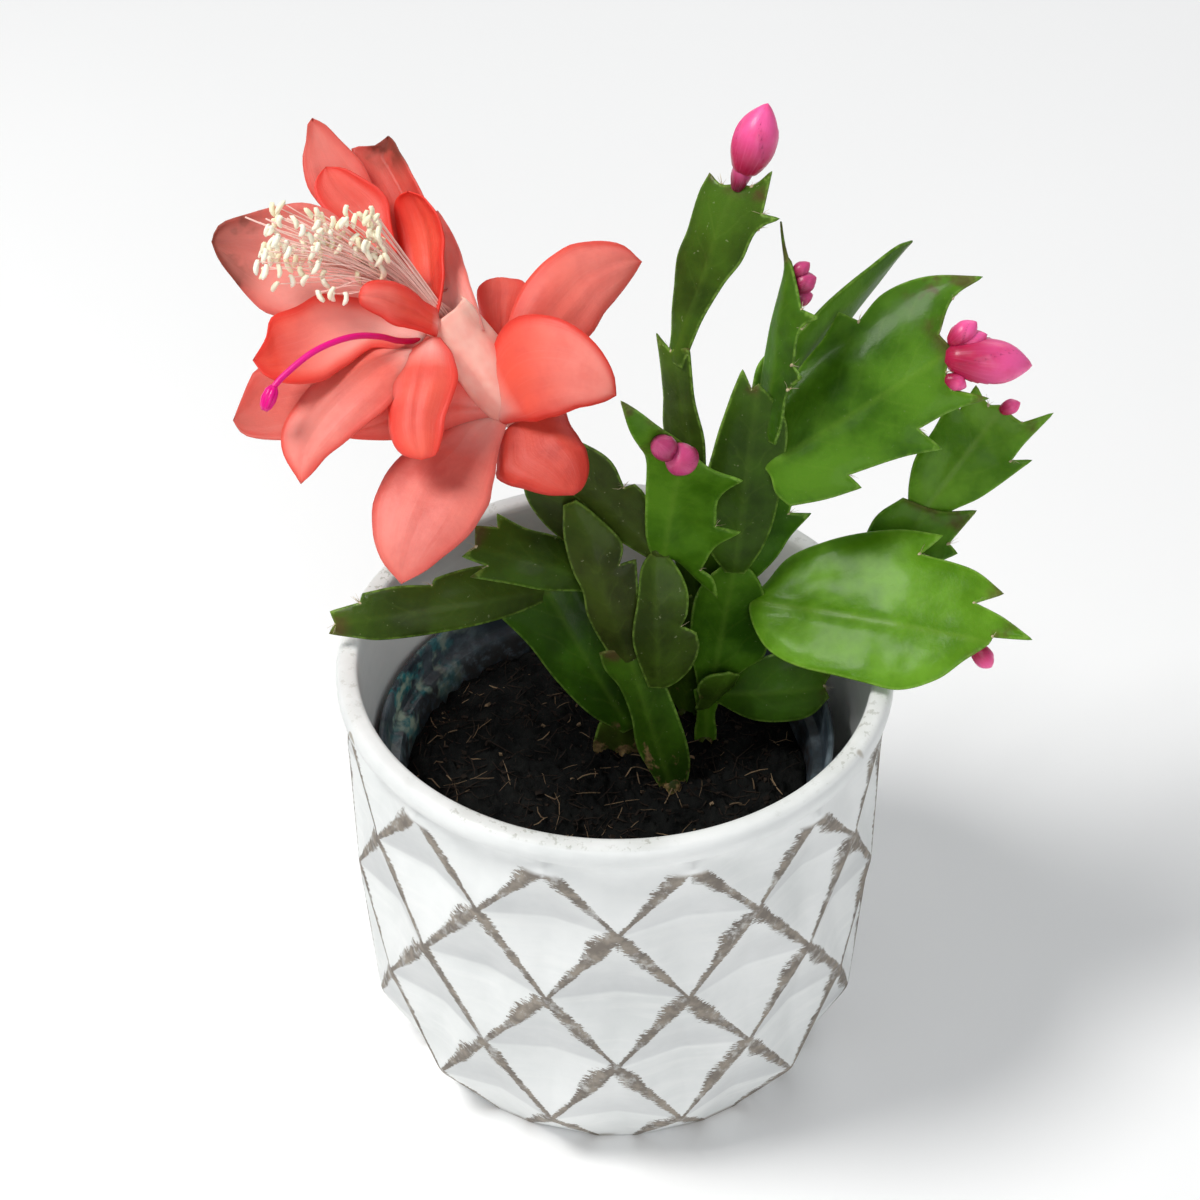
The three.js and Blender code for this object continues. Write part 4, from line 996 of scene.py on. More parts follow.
def grow_foot(flesh, base, number):
    """The corky stump of a stem, in its hole in the soil."""
    x, y = base["at"]
    path, radii = zip(*[((x, y, z), base["radius"] * share) for z, share in FOOT_PROFILE])
    points, faces = tube(path, radii, FOOT_SIDES)
    points = [p + Vector((p.x - x, p.y - y, 0)) * 0.12 * noise.noise(p * 0.35) for p in points]
    flesh.add(points, faces, uv=[(p.z / UV_SPAN + number, p.x / UV_SPAN) for p in points], edge=2.0, rib=4.0, run=0.0,
              fresh=0.0, cork=0.6)


def build_stems():
    """One piece for each stem, and one for the bristles of them all."""
    green = stem_flesh()
    wool = litter("bristles", srgb(150, 132, 98), srgb(226, 214, 178))
    hairs = Flesh()
    number = 0
    for name, plan in STEMS.items():
        flesh = Flesh()
        grow_foot(flesh, plan["foot"], number)
        for segment, look in zip(plan["segments"], SEGMENT_LOOKS[name]):
            number += 1
            grow_segment(flesh, hairs, segment, look, number)
        flesh.piece(name + "_flesh", green, STEM_SLOTS[name], name)
    hairs.piece("stem_bristles", wool, "stem_green_old")


def stem_flesh():
    """Waxy green skin: fresher or older by segment, light along the margin and the midrib, with
    faint side veins, dust and corky brown scars."""
    material, w = new_material("stem_flesh", roughness=0.45, specular=0.08, coat=0.08, coat_roughness=0.16)
    here = w.here()
    edge, rib, run = w.value("edge"), w.value("rib"), w.value("run")
    fresh, cork = w.value("fresh"), w.value("cork")
    cloud, fine = mottle(w, here, 55.0, 620.0)
    olive = w.mix(cloud, srgb(42, 52, 16), srgb(70, 80, 28))
    deep = w.mix(cloud, srgb(36, 72, 8), srgb(60, 102, 16))
    young = w.mix(cloud, srgb(76, 124, 12), srgb(108, 158, 40))
    age = w.scaled(w.less(cloud, 0.5), 0.12, fresh)
    colour = w.mix(w.ramp(age, 0.0, 0.4, kind="LINEAR"), olive, deep)
    colour = w.mix(w.ramp(age, 0.36, 1.0, kind="LINEAR"), colour, young)
    colour = w.mix(w.times(w.ramp(run, 0.55, 1.0), 0.2), colour, srgb(96, 140, 34))
    # side veins leave the midrib at a slant
    u, v, _ = w.split(w.surface())
    slant = w.less(w.times(u, 50.0), w.times(w.math("ABSOLUTE", v), 62.0))
    slant = w.scaled(cloud, 3.5, slant)
    vein = w.math("ABSOLUTE", w.less(w.math("FRACT", w.math("DIVIDE", slant, 8.5)), 0.5))
    veins = w.times(w.ramp(vein, 0.0, 0.1, 1.0, 0.0), w.ramp(edge, 1.5, 5.0))
    colour = w.mix(w.times(veins, 0.04), colour, srgb(140, 170, 70))
    centre = w.times(w.ramp(rib, 0.0, 1.3, 1.0, 0.0), w.scaled(fresh, 0.3, 0.03))
    colour = w.mix(centre, colour, srgb(122, 156, 56))
    margin_line = w.times(w.ramp(edge, 0.0, 0.55, 1.0, 0.0), w.ramp(fine, 0.2, 0.8, 0.15, 0.5))
    colour = w.mix(margin_line, colour, srgb(140, 176, 76))
    dust = w.times(w.ramp(w.noise(here, 900.0, detail=2.0), 0.70, 0.75),
                  w.scaled(fresh, -0.5, 0.36, clamp=True))
    colour = w.mix(dust, colour, srgb(176, 184, 140))
    scar = w.noise(w.stretch(here, (150.0, 150.0, 90.0)), 1.0, detail=4.0, roughness=0.7)
    corky = w.times(w.ramp(w.plus(scar, w.times(cork, 0.42)), 0.72, 0.80),
                   w.ramp(cork, 0.02, 0.12))
    brown = w.mix(fine, srgb(84, 66, 40), srgb(146, 122, 82))
    colour = w.mix(w.times(corky, 0.9), colour, brown)
    rough = w.scaled(corky, 0.4, w.scaled(cloud, 0.14, w.scaled(fresh, -0.12, 0.42)))
    height = w.scaled(veins, -0.08, w.scaled(corky, 0.9, w.times(fine, 0.3)))
    height = w.scaled(cloud, 0.4, height)
    # the tips, where buds come out, are tinged with purple brown
    tinge = w.times(w.ramp(run, 0.9, 1.0), w.ramp(w.noise(here, 130.0), 0.42, 0.6, 0.0, 0.65))
    colour = w.mix(tinge, colour, srgb(84, 44, 40))
    dress(material, w, colour=colour, roughness=rough, normal=w.bump(height, 0.0003, 0.55))
    flesh_light(material, 0.12, (0.25, 0.6, 0.08), 0.004)
    return material


# ---- buds ----
# from, to, radius, where it is widest, how many scales lap round it, how red its foot is
BUDS = {
    "bud_top": [((26.5, 37.5, 215.5), (28.6, 38.6, 223), 2.5, 0.85, 3, 1.6),
                ((28, 38, 219.5), (33, 41, 236), 4.9, 0.42, 4, 0.5)],
    "buds_narrow": [((39, 29, 198.5), (43, 30, 201.7), 1.7, 0.5, 3, 1.6),
                    ((39, 28.5, 196), (44.6, 29, 198.4), 2.5, 0.5, 3, 1.6),
                    ((39, 28, 193), (44, 28.5, 194), 2.0, 0.5, 3, 1.6)],
    "buds_broad": [((74, 24.5, 180), (94, 25, 177), 5.3, 0.48, 4, 0.35),
                   ((75, 26, 182), (81, 28, 187), 2.7, 0.5, 3, 0.5),
                   ((75, 26, 181), (83.5, 27, 184.2), 2.5, 0.5, 3, 0.5),
                   ((74, 22, 176), (79, 20.5, 174.3), 2.0, 0.5, 3, 0.6)],
    "bud_side": [((89.3, 35.5, 156), (94, 36, 158.2), 1.8, 0.5, 3, 0.5)],
    "bud_low": [((82, -8.6, 122.4), (86.4, -9.4, 116.4), 2.4, 0.5, 3, 0.4)],
    "buds_middle": [((12.5, -2.6, 173), (8.6, -7.2, 180.6), 2.9, 0.5, 3, 1.9),
                    ((15, -1, 171.5), (13.8, -8, 175.2), 3.7, 0.5, 3, 1.7)],
}
BUD_ROWS, BUD_SIDES = 30, 42
BUD_TIP = 0.02               # radius of the closed tip
BUD_LAP, BUD_RIPPLE = 0.10, 0.03           # height of a scale's step and of the ripples, as shares of the radius


def build_buds():
    """One piece for each group of buds."""
    skin = bud_skin()
    for name, group in BUDS.items():
        flesh = Flesh()
        for number, (start, end, radius, widest, laps, red) in enumerate(group):
            grow_bud(flesh, Vector(start), Vector(end), radius, widest, laps, red, number)
        flesh.piece(name + "_scales", skin, "bud_magenta", name)


def grow_bud(flesh, start, end, radius, widest, laps, red, number):
    """A bud whose scales lap over each other in a slow twist."""
    axis = end - start
    length = axis.length
    turn = Vector((0, 0, 1)).rotation_difference(axis)
    points, uv, lap_edge = [], [], []
    for i in range(BUD_ROWS + 1):
        t = i / BUD_ROWS
        if t < widest:
            wide = 0.5 + 0.5 * math.sin(math.pi / 2 * t / widest)
            wide *= min(1, 0.55 + t * 6)
        else:
            wide = math.cos(math.pi / 2 * ((t - widest) / (1 - widest)) ** 1.25) ** 0.8
        for k in range(BUD_SIDES):
            a = 2 * math.pi * k / BUD_SIDES
            lap = (laps * a / (2 * math.pi) + 1.1 * t + number * 0.31) % 1.0
            step = BUD_LAP * lap * math.sin(math.pi * min(1, t * 1.15)) ** 0.5 if 0 < t < 0.9 else 0
            ripple = BUD_RIPPLE * noise.noise(Vector((math.cos(a), math.sin(a), t * 2 + number)))
            r = BUD_TIP if i == BUD_ROWS else radius * max(wide, 0.0) * (0.95 + step + ripple)
            points.append(turn @ Vector((r * math.cos(a), r * math.sin(a), length * t)) + start)
            uv.append((a / (2 * math.pi), t))
            lap_edge.append(lap)
    flesh.add(points, ring_faces(BUD_ROWS + 1, BUD_SIDES), uv=uv, lap=lap_edge, up=[t for _, t in uv], red=red)


def bud_skin():
    """Waxy magenta scales, darker where they lap and towards the foot, paler at the tip."""
    material, w = new_material("bud_skin", roughness=0.4, specular=0.3, coat=0.15, coat_roughness=0.2)
    here = w.here()
    up, lap, red = w.value("up"), w.value("lap"), w.value("red")
    cloud = w.noise(here, 260.0, detail=3.0)
    colour = w.mix(w.ramp(up, 0.1, 0.8), srgb(182, 16, 70), srgb(254, 100, 168))
    colour = w.mix(w.times(w.ramp(cloud, 0.4, 0.7), 0.25), colour, srgb(214, 36, 78))
    foot = w.times(w.less(1.15, up, clamp=True), w.ramp(red, 0.2, 1.0, 0.35, 1.0))
    foot = w.times(foot, foot)
    colour = w.mix(foot, colour, srgb(80, 0, 22))
    colour = w.mix(w.ramp(red, 1.0, 2.0, 0.0, 0.55), colour, srgb(112, 6, 46))
    crease = w.math("MAXIMUM", w.ramp(lap, 0.0, 0.10, 1.0, 0.0), w.ramp(lap, 0.93, 1.0))
    colour = w.mix(w.times(crease, 0.55), colour, srgb(140, 14, 70))
    streaks = w.noise(w.stretch(w.surface(), (60.0, 3.0, 1.0)), 1.0, detail=2.0)
    colour = w.mix(w.ramp(streaks, 0.45, 0.8, 0.0, 0.16), colour, srgb(246, 120, 176))
    dress(material, w, colour=colour, roughness=w.scaled(cloud, 0.2, 0.26),
          normal=w.bump(w.scaled(streaks, 0.6, cloud), 0.0002, 0.5))
    flesh_light(material, 0.25, (1.0, 0.25, 0.35), 0.002)
    return material


# ---- bloom ----
BLOOM_FOOT = Vector((-18, 15, 164))
BLOOM_MOUTH = Vector((-40, 25, 195))
TUBE_SIDES, TUBE_LENGTH = 40, 39
TUBE_RIBS, TUBE_RIB = 8, 0.035             # how many, and how high as a share of the radius
# radius and height of the tube, from its foot up the outside, over the rim and down the throat
TUBE = [(0.6, 0.0), (2.4, 0.2), (3.0, 1.6), (3.2, 3), (3.2, 5), (4.0, 6.4), (5.4, 8), (6.5, 12), (7.0, 17),
        (6.8, 22), (6.5, 27), (6.2, 31), (6.1, 34), (5.7, 36), (5.3, 36.4), (5.0, 36), (4.9, 33),
        (4.6, 29), (4.0, 23), (3.7, 19.4), (0.4, 19.1)]
FRONT = (0, -0.76, 0.65)
# Each petal lies between a left and a right edge, as (along, across) from its start, in the plane
# that holds start and end and faces the given way. bow, cup, curl and fold bend it out of that
# plane. red, green and pale are shares of its colours; of the two other shares, one paints a paler
# tip that is partly a painted highlight, the other paints shade over the whole petal.
PETALS = [
    dict(start=(-43, 30, 193), end=(-69, 64, 217), faces=FRONT, bow=-2, cup=1.5, curl=-2,
         red=0.2, green=0.9, glow=0.5,
         left=[(0, 1.8), (6.8, 6.1), (17.9, 7.2), (27.1, 8.3), (35.4, 8.9), (41.6, 6.7), (45.3, 3.4), (48.1, 1.2),
               (48.7, -0.5)],
         right=[(0, -1.8), (7.1, 2.4), (16.3, -0.6), (25.7, -3.4), (32.6, -4.4), (37.5, -3.9), (42.1, -3),
               (45.9, -2.1), (48.7, -0.5)]),
    dict(start=(-38, 31, 193), end=(-53, 64, 213), faces=(-0.3, -0.7, 0.6), bow=-2, cup=2,
         red=0.35, green=2.2, fold=3.4, dim=0.3,
         left=[(0, 1.8), (8, 9), (19.2, 7.6), (29.3, 6.7), (36.9, 7.4), (40.7, 7.8), (41.2, 6), (39.8, 2.4),
               (40.7, -1.2)],
         right=[(0, -1.8), (1.1, 1.1), (9.7, -2.4), (17.7, -4.7), (24.5, -4.3), (31.3, -3.6), (35.4, -2.8),
               (38.5, -2.2), (40.7, -1.2)]),
    dict(start=(-41, 30, 195), end=(-60, 51, 212), faces=FRONT, bow=-1, cup=1.5,
         red=1.0, pale=0.7, glow=0.3,
         left=[(0, 1.8), (4.5, 7.9), (15.4, 8.5), (21.7, 8.9), (27.2, 9.5), (31.5, 9.5), (34.5, 8.5), (36.2, 6.2),
               (36.9, 3.6)],
         right=[(0, -1.8), (4.2, 4.8), (11.8, 1.7), (17.7, -1.1), (21.6, -3.2), (25.2, -3.2), (28.8, -1.9),
               (33.9, 0.4), (36.9, 3.6)]),
    dict(start=(-46, 26, 191), end=(-89, 38, 204), faces=(0.1, -0.8, 0.6), bow=-3, cup=2, curl=-2,
         red=0.0, green=3.6, pale=0.9, glow=0.3,
         left=[(0, -1.8), (5.5, -3.1), (20.7, -12.6), (29.8, -14.1), (36.6, -10.6), (41.7, -6.6), (45.6, -3.1),
               (46.8, -0.7), (46.5, 2.3)],
         right=[(0, 1.8), (6.1, -0.5), (14.8, 5), (22.2, 10.4), (28.5, 12.3), (34.2, 10.7), (39.4, 8), (43.6, 5.4),
               (46.5, 2.3)]),
    dict(start=(-36.5, 17.5, 194), end=(-49.5, 49, 210.5), faces=(-0.7, -0.6, 0.4), bow=-4, cup=2,
         red=1.0, pale=0.1,
         left=[(7.9, 5.8), (14.6, 7.9), (19.8, 8.5), (25.2, 7.8), (30.3, 6.1), (33.4, 4.3), (34.7, 1.5), (33.5, -2.6)],
         right=[(2.6, 3.3), (5.9, 0.7), (10.1, -1.8), (14.7, -3.3), (19.3, -5.9), (24.4, -7.3), (29.2, -6.2),
               (33.5, -2.6)]),
    dict(start=(-36, 26, 190), end=(-39, 53, 206), faces=(-0.5, -0.6, 0.5), bow=2, cup=-1,
         red=0.1, pale=0.75, glow=1.0,
         left=[(-0.1, 4.1), (5.9, 5.8), (12.2, 6.3), (18.3, 6), (22.6, 5.3), (25.4, 4.2), (26.6, 3.5), (26.6, 2)],
         right=[(-5.7, -7.1), (-0.2, -6.6), (4.9, -5.7), (10.8, -4.4), (16.8, -2.7), (21, -1.1), (24.1, 0.5),
               (26.6, 2)]),
    dict(start=(-44, 21, 190), end=(-79, 8, 193), faces=(-0.2, -0.5, 0.8), bow=-2, cup=2,
         red=1.0, pale=0.8, dim=0.1,
         left=[(-3.5, -0.5), (3.7, -6), (11.9, -10.1), (19.4, -12.6), (25.2, -10.4), (31.4, -8.4), (34, -3.3),
               (38.2, 1.6)],
         right=[(2.6, 6.4), (9.8, 2.9), (13.9, 3.8), (18.7, 6.5), (24.4, 8.8), (31.6, 8.7), (36.3, 5.9), (38.2, 1.6)]),
    dict(start=(-43, 20, 189), end=(-84, 4, 177), faces=(-0.4, -0.4, 0.8), bow=-3, cup=1.5,
         red=0.0, green=0.6, pale=0.5, dim=0.3,
         left=[(0, -1.8), (3, 1.2), (10.7, -5), (20.2, -9), (29.1, -11.1), (35.9, -11.4), (39, -9.2), (42.1, -5.5),
               (45.8, -0.9)],
         right=[(0, 1.8), (4.7, 8.6), (13, 12.2), (22.1, 13.6), (30.2, 12.8), (37.5, 9.4), (42.6, 6.2), (45.3, 3.4),
               (45.8, -0.9)]),
    dict(start=(-41, 19, 189), end=(-69, -9, 171), faces=(-0.4, -0.6, 0.6), bow=5, cup=-1.5,
         red=0.4, glow=0.6,
         left=[(0, -1.8), (3.9, -0.4), (9, -7.5), (13.5, -10.5), (20.8, -12.1), (28.5, -12.4), (36.5, -10.8),
               (41.4, -6.6), (44.1, 0.6)],
         right=[(0, 1.8), (7.6, 4.8), (14.6, 5.3), (20.6, 5.5), (26.6, 4.3), (31.8, 3), (36, 1.7), (40.6, 1.3),
               (44.1, 0.6)]),
    dict(start=(-37, 18, 192), end=(-41, -9, 177), faces=(-0.2, -0.6, 0.7), bow=3, cup=-2,
         red=0.75,
         left=[(2.2, -4.6), (6, -8.2), (11.4, -10.3), (17.5, -10.3), (23.5, -9.8), (27.5, -8.5), (30.5, -5.7),
               (31.4, -1.3)],
         right=[(2, -1.6), (6.3, 2), (12, 4.2), (16.4, 3.9), (21.7, 2.9), (26.5, 2.5), (30.1, 1.7), (31.4, -1.3)]),
    dict(start=(-38, 18, 191.5), end=(-58, 13, 204), faces=(0.2, -0.8, 0.5), bow=2, cup=-1.5,
         red=1.0, pale=0.1, glow=0.4,
         left=[(3.1, -4.1), (6.8, -4.8), (10.6, -6.1), (14.6, -6.7), (18, -6.2), (20.9, -5.1), (22.2, -3.3),
               (22.2, -1.2)],
         right=[(0.9, 1.7), (5.6, 1.6), (9.6, 1.9), (12.8, 2.2), (15.6, 1.5), (18.7, 1.1), (21, 0.5), (22.2, -1.2)]),
    dict(start=(-23, 20, 174), end=(7, 42, 194), faces=(0.2, -0.7, 0.6), bow=4, cup=-2, curl=2,
         red=0.45, glow=0.5,
         left=[(0, 1.8), (4.8, 8.4), (9.5, 11.9), (14.1, 14.1), (19.6, 15.6), (26.7, 15.7), (33, 14), (40.2, 7.3),
               (41.5, 0.4)],
         right=[(0, -1.8), (9.1, -1.9), (16.3, -3.3), (22.1, -2.9), (26.6, -1.8), (30.9, -1.3), (34.8, -0.9),
               (38.5, -0.4), (41.5, 0.4)]),
    dict(start=(-24, 13, 174), end=(0, 4, 188), faces=(0.4, -0.7, 0.6), bow=4, cup=-2, curl=1,
         red=0.85, glow=0.7,
         left=[(-3.1, -2.3), (-4.4, 0.3), (-4.5, 2.7), (-2.1, 8.2), (1.1, 13.3), (4.6, 17.2), (10.7, 19.1),
               (17.2, 18.3), (23.4, 15.2), (27.7, 9.3), (29.1, 2.4), (27.7, -2.8)],
         right=[(-1.7, -3.2), (2.2, -3.1), (9, -4), (15.1, -3.8), (20, -3.5), (24.6, -3.5), (27.7, -2.8)]),
    dict(start=(-21, 12, 170), end=(-8, -4, 163), faces=(0.3, -0.8, 0.5), bow=2, cup=-2,
         red=1.0, pale=0.1, dim=0.95,
         left=[(-1.7, -1.5), (-1, -4.6), (1.2, -7.3), (4.5, -10.3), (7.2, -12), (12.1, -9.4), (17.1, -5.9), (21, -1.1)],
         right=[(-1, 2.9), (3, 9), (5.4, 8.9), (9.2, 8), (13, 7.7), (16.3, 6.6), (19.1, 4.3), (20.9, 1.5), (21, -1.1)]),
    dict(start=(-23, 11, 170), end=(-48, -23, 154), faces=(-0.3, -0.6, 0.7), bow=4, cup=-1.5, curl=2,
         red=0.0, glow=0.15,
         left=[(0.2, -7.8), (5.8, -11.7), (14.3, -13.4), (20.7, -16.6), (28.6, -16.3), (35.7, -13.3), (42.1, -6.8),
               (44.5, 0.4)],
         right=[(-1.2, -2.2), (6.6, 1), (12.9, 4.5), (19.1, 7), (26.2, 7.8), (33.2, 6.5), (40, 3.7), (44.5, 0.4)]),
    dict(start=(-25, 21, 174), end=(-26, 46, 187), faces=(-0.2, -0.6, 0.7), bow=2, cup=-1, red=0.6,
         left=[(0, 1.8), (8.9, 0.9), (14.3, 3.6), (19.7, 5.3), (23.1, 5.9), (25.6, 5.7), (26.9, 4.2), (27.5, 2.8),
               (27.4, 0.4)],
         right=[(0, -1.8), (9, -1.9), (12.7, -2.5), (16.8, -3.5), (21.2, -4.8), (24.1, -5.9), (26.1, -4.7),
               (26.9, -2.4), (27.4, 0.4)]),
    dict(start=(-25, 14, 170), end=(-56, 10, 176), faces=(-0.2, -0.8, 0.5), bow=1, cup=-1, red=0.4,
         left=[(0, -1.8), (4.6, -4.6), (10.4, -7.8), (15.9, -8.3), (20.9, -6.6), (26.3, -3.9), (30.5, 0),
               (34.2, 3.2), (36.6, 6.5)],
         right=[(0, 1.8), (4.2, 0.3), (8.6, 2), (13.2, 3.9), (18.7, 5.4), (23.6, 6.2), (28.1, 6.6), (32.6, 6.7),
               (36.6, 6.5)]),
]
PETAL_ROWS = 30
PETAL_COLUMNS = 16
PETAL_RIM_HALF, PETAL_BODY_MORE, PETAL_ROOT_MORE = 0.16, 0.22, 0.12      # half the thickness
PETAL_RIM_RUN = 2.5          # how far in the rim goes over into the body
PETAL_RIB, PETAL_MIDRIB, MIDRIB_HALF = 0.16, 0.3, 0.12


def even(points):
    """A smooth edge through the points, cut in steps of one length."""
    fine = curve_through([(along, across, 0) for along, across in points], 12)
    runs = [0.0]
    for p, q in zip(fine, fine[1:]):
        runs.append(runs[-1] + (q - p).length)
    steps = np.linspace(0, runs[-1], PETAL_ROWS + 1)
    return list(zip(np.interp(steps, runs, [p.x for p in fine]), np.interp(steps, runs, [p.y for p in fine])))


def grow_petal(flesh, number, start, end, faces, left, right, bow=0, cup=0, curl=0, fold=0.0,
               red=0.5, green=0.0, pale=0.3, glow=0.0, dim=0.0):
    """A soft petal between two edges, ruffled, ribbed along and thin at its rim."""
    start, end, faces = Vector(start), Vector(end), Vector(faces)
    axis = end - start
    length = axis.length
    axis.normalize()
    normal = (faces - axis * faces.dot(axis)).normalized()
    side = normal.cross(axis)
    seed = Vector((number * 5.1, number * 2.3, 0))
    rows = list(zip(even(left), even(right)))
    widest = max(math.dist(a, b) for a, b in rows)
    points, uv, triangles, edge = [], [], [], []
    for row, (a, b) in enumerate(rows):
        t = row / PETAL_ROWS
        swell = math.sin(math.pi * t)
        width = math.dist(a, b) / 2
        for column in range(PETAL_COLUMNS + 1):
            u = 2 * column / PETAL_COLUMNS - 1
            ruffle = noise.noise(Vector((t * 3.2, u * 1.3, 0)) + seed) * 1.5 * abs(u) ** 1.5 * swell
            ruffle += noise.noise(Vector((t * 1.6, u * 0.8, 3)) + seed) * 1.1 * swell
            ribs = PETAL_RIB * math.cos(3.1 * math.pi * u + number) * swell
            ribs -= PETAL_MIDRIB * math.exp(-(u / MIDRIB_HALF) ** 2) * swell ** 0.6
            nick = 1 + 0.04 * noise.noise(Vector((t * 9, 7 if u > 0 else 2, 0)) + seed)
            share = 0.5 + 0.5 * u * nick
            along, across = (p + (q - p) * share for p, q in zip(a, b))
            lift = (bow * swell + 2 * cup * u * u * width / widest - curl * t ** 4
                    + ruffle + ribs + fold * abs(u) * swell)
            points.append(start + axis * along + side * across + normal * lift)
            uv.append((u * 0.5 + 0.5, t))
            edge.append(min((1 - abs(u)) * width, (1 - t) * length))
            if row and column:
                d = len(points) - 1
                corner = [d - PETAL_COLUMNS - 2, d - PETAL_COLUMNS - 1, d - 1]
                triangles += [corner, [corner[1], d, corner[2]]]
    normals = point_normals(points, triangles)
    thick = np.array([PETAL_RIM_HALF + PETAL_BODY_MORE * min(1, e / PETAL_RIM_RUN) + PETAL_ROOT_MORE * (1 - v)
                      for e, (_, v) in zip(edge, uv)])[:, None]
    middle = np.array([tuple(p) for p in points])
    count = len(points)
    shell = both_sides(triangles, count) + [[b, a, a + count, b + count] for a, b in open_edges(triangles)]
    flesh.add(np.concatenate([middle + normals * thick, middle - normals * thick]), shell, uv=uv + uv,
              edge=edge + edge, red=red, green=green, pale=pale, glow=glow, dim=dim)


def build_bloom():
    """The petals, the tube that they grow from, and what stands in it."""
    along = (BLOOM_MOUTH - BLOOM_FOOT).normalized()
    flesh = Flesh()
    for number, petal in enumerate(PETALS):
        grow_petal(flesh, number, **petal)
    flesh.piece("bloom_petals_soft", petal_flesh(), "petal_coral", "bloom_petals")
    build_tube(Vector((0, 0, 1)).rotation_difference(along))
    build_stamens(along)
    build_style(along)


def build_tube(turn):
    """The tube, with eight soft ribs that fade towards its foot."""
    points, up = [], []
    for r, z in TUBE:
        for k in range(TUBE_SIDES):
            a = 2 * math.pi * k / TUBE_SIDES
            ripple = 1 + TUBE_RIB * math.sin(TUBE_RIBS * a + z * 0.05) * min(1, max(0, (z - 6) / 8))
            points.append(turn @ Vector((r * ripple * math.cos(a), r * ripple * math.sin(a), z)) + BLOOM_FOOT)
            up.append(z / TUBE_LENGTH)
    neck = Flesh()
    neck.add(points, ring_faces(len(TUBE), TUBE_SIDES), up=up)
    neck.piece("bloom_tube", tube_flesh(), "petal_coral")


# where the anthers gather: middle, half size each way and how many
CLUMPS = [((-71.5, 24, 211), (8, 6, 8), 66), ((-54, 26, 210.5), (3.6, 4, 8), 42), ((-62, 26, 214), (4, 3, 5), 12),
          ((-63.5, 18, 201.5), (5.5, 2, 2.5), 5)]
BARE_THREADS, BARE_MIDDLE = 5, Vector((-74, 26, 216))
ANTHER_RADII = [0.14, 0.34, 0.5, 0.6, 0.64, 0.56, 0.22]


def throat_back(along):
    """The way from the tube's middle to its back."""
    return (Vector((0, 1, 0)) - along * along.y).normalized()


def build_stamens(along):
    """Pale filaments from the throat, each with a cream anther that hangs from its tip."""
    threads, anthers = Flesh(), Flesh()
    root = BLOOM_FOOT + along * 20 + throat_back(along) * 0.9
    for centre, size, count in CLUMPS:
        for _ in range(count):
            end = Vector(centre) + Vector(s * draw.uniform(-0.95, 0.95) for s in size)
            aim = end - root
            lean = (aim - along * aim.dot(along)).normalized()
            low = root + lean * draw.uniform(0.2, 1.6)
            mouth = root + along * 18 + lean * draw.uniform(1.0, 3.2)
            far = mouth.lerp(end, 0.5) + along * draw.uniform(2.5, 5.5)
            path = curve_through([low, mouth, far, end], 5)
            threads.add(*tube(path, [0.18 - 0.05 * i / len(path) for i in range(len(path))], 5),
                        tone=draw.random())
            droop = (Vector((draw.uniform(-0.7, 0.7), draw.uniform(-0.5, 0.2), -1))).normalized()
            hook = Vector((draw.choice((-1, 1)) * draw.uniform(0.5, 1.1), draw.uniform(-0.4, 0.2), 0.25))
            reach = draw.uniform(2.2, 3.2)
            bean = curve_through([end + hook * 0.5, end - droop * 0.35, end + droop * reach * 0.45 - hook * 0.45,
                                  end + droop * reach], 2)
            anthers.add(*tube(bean, ANTHER_RADII, 6), tone=draw.random())
    for _ in range(BARE_THREADS):
        end = BARE_MIDDLE + Vector((draw.uniform(-7, 3), draw.uniform(-3, 3), draw.uniform(-2, 3)))
        path = curve_through([root, root + along * 19, end], 6)
        threads.add(*tube(path, [0.2] * len(path), 5), tone=0.2)
    threads.piece("bloom_filaments", litter("filament", srgb(244, 190, 180), srgb(255, 226, 214)), "stamen_cream",
                  "bloom_stamens")
    anthers.piece("bloom_anthers", litter("pollen", srgb(252, 240, 196), srgb(255, 255, 240)), "stamen_cream")


STYLE_ARCH = [(-42.5, 19.3, 188.3), (-47.6, 15.5, 190.8), (-51.8, 13, 193.8), (-56.4, 10.5, 195.8),
              (-61.2, 8, 196.1), (-66.5, 5, 195), (-71.9, 1, 192.3), (-74.6, -1.5, 190.4)]
STYLE_RADIUS, STYLE_SIDES = 0.72, 12
STIGMA_AT, STIGMA_WAY = Vector((-74.2, -1.2, 190.8)), Vector((-2.4, -3.6, -4.6)).normalized()
LOBES = 7
# along the stigma, out from its middle, and the lobe's own radius there
LOBE = [(0, 0.35, 0.5), (1.2, 0.85, 0.75), (3.0, 1.0, 0.8), (4.6, 0.75, 0.65), (5.6, 0.45, 0.25)]


def build_style(along):
    """The style arches out of the throat and ends in a narrow stigma of closed lobes."""
    flesh = Flesh()
    back = throat_back(along)
    root = BLOOM_FOOT + along * 19.6 - back * 2.5
    path = curve_through([root, root + along * 12 - back * 0.8] + STYLE_ARCH, 5)
    points, faces = tube(path, [STYLE_RADIUS] * len(path), STYLE_SIDES)
    flesh.add(points, faces, up=[(i // STYLE_SIDES) / len(path) for i in range(len(points))])
    side = STIGMA_WAY.orthogonal().normalized()
    other = STIGMA_WAY.cross(side)
    for k in range(LOBES):
        a = 2 * math.pi * k / LOBES
        out = side * math.cos(a) + other * math.sin(a)
        line = [STIGMA_AT + STIGMA_WAY * d + out * r for d, r, _ in LOBE]
        flesh.add(*tube(line, [radius for _, _, radius in LOBE], 8), up=1.0)
    flesh.piece("bloom_style_arch", style_flesh(), "style_magenta", "bloom_style")


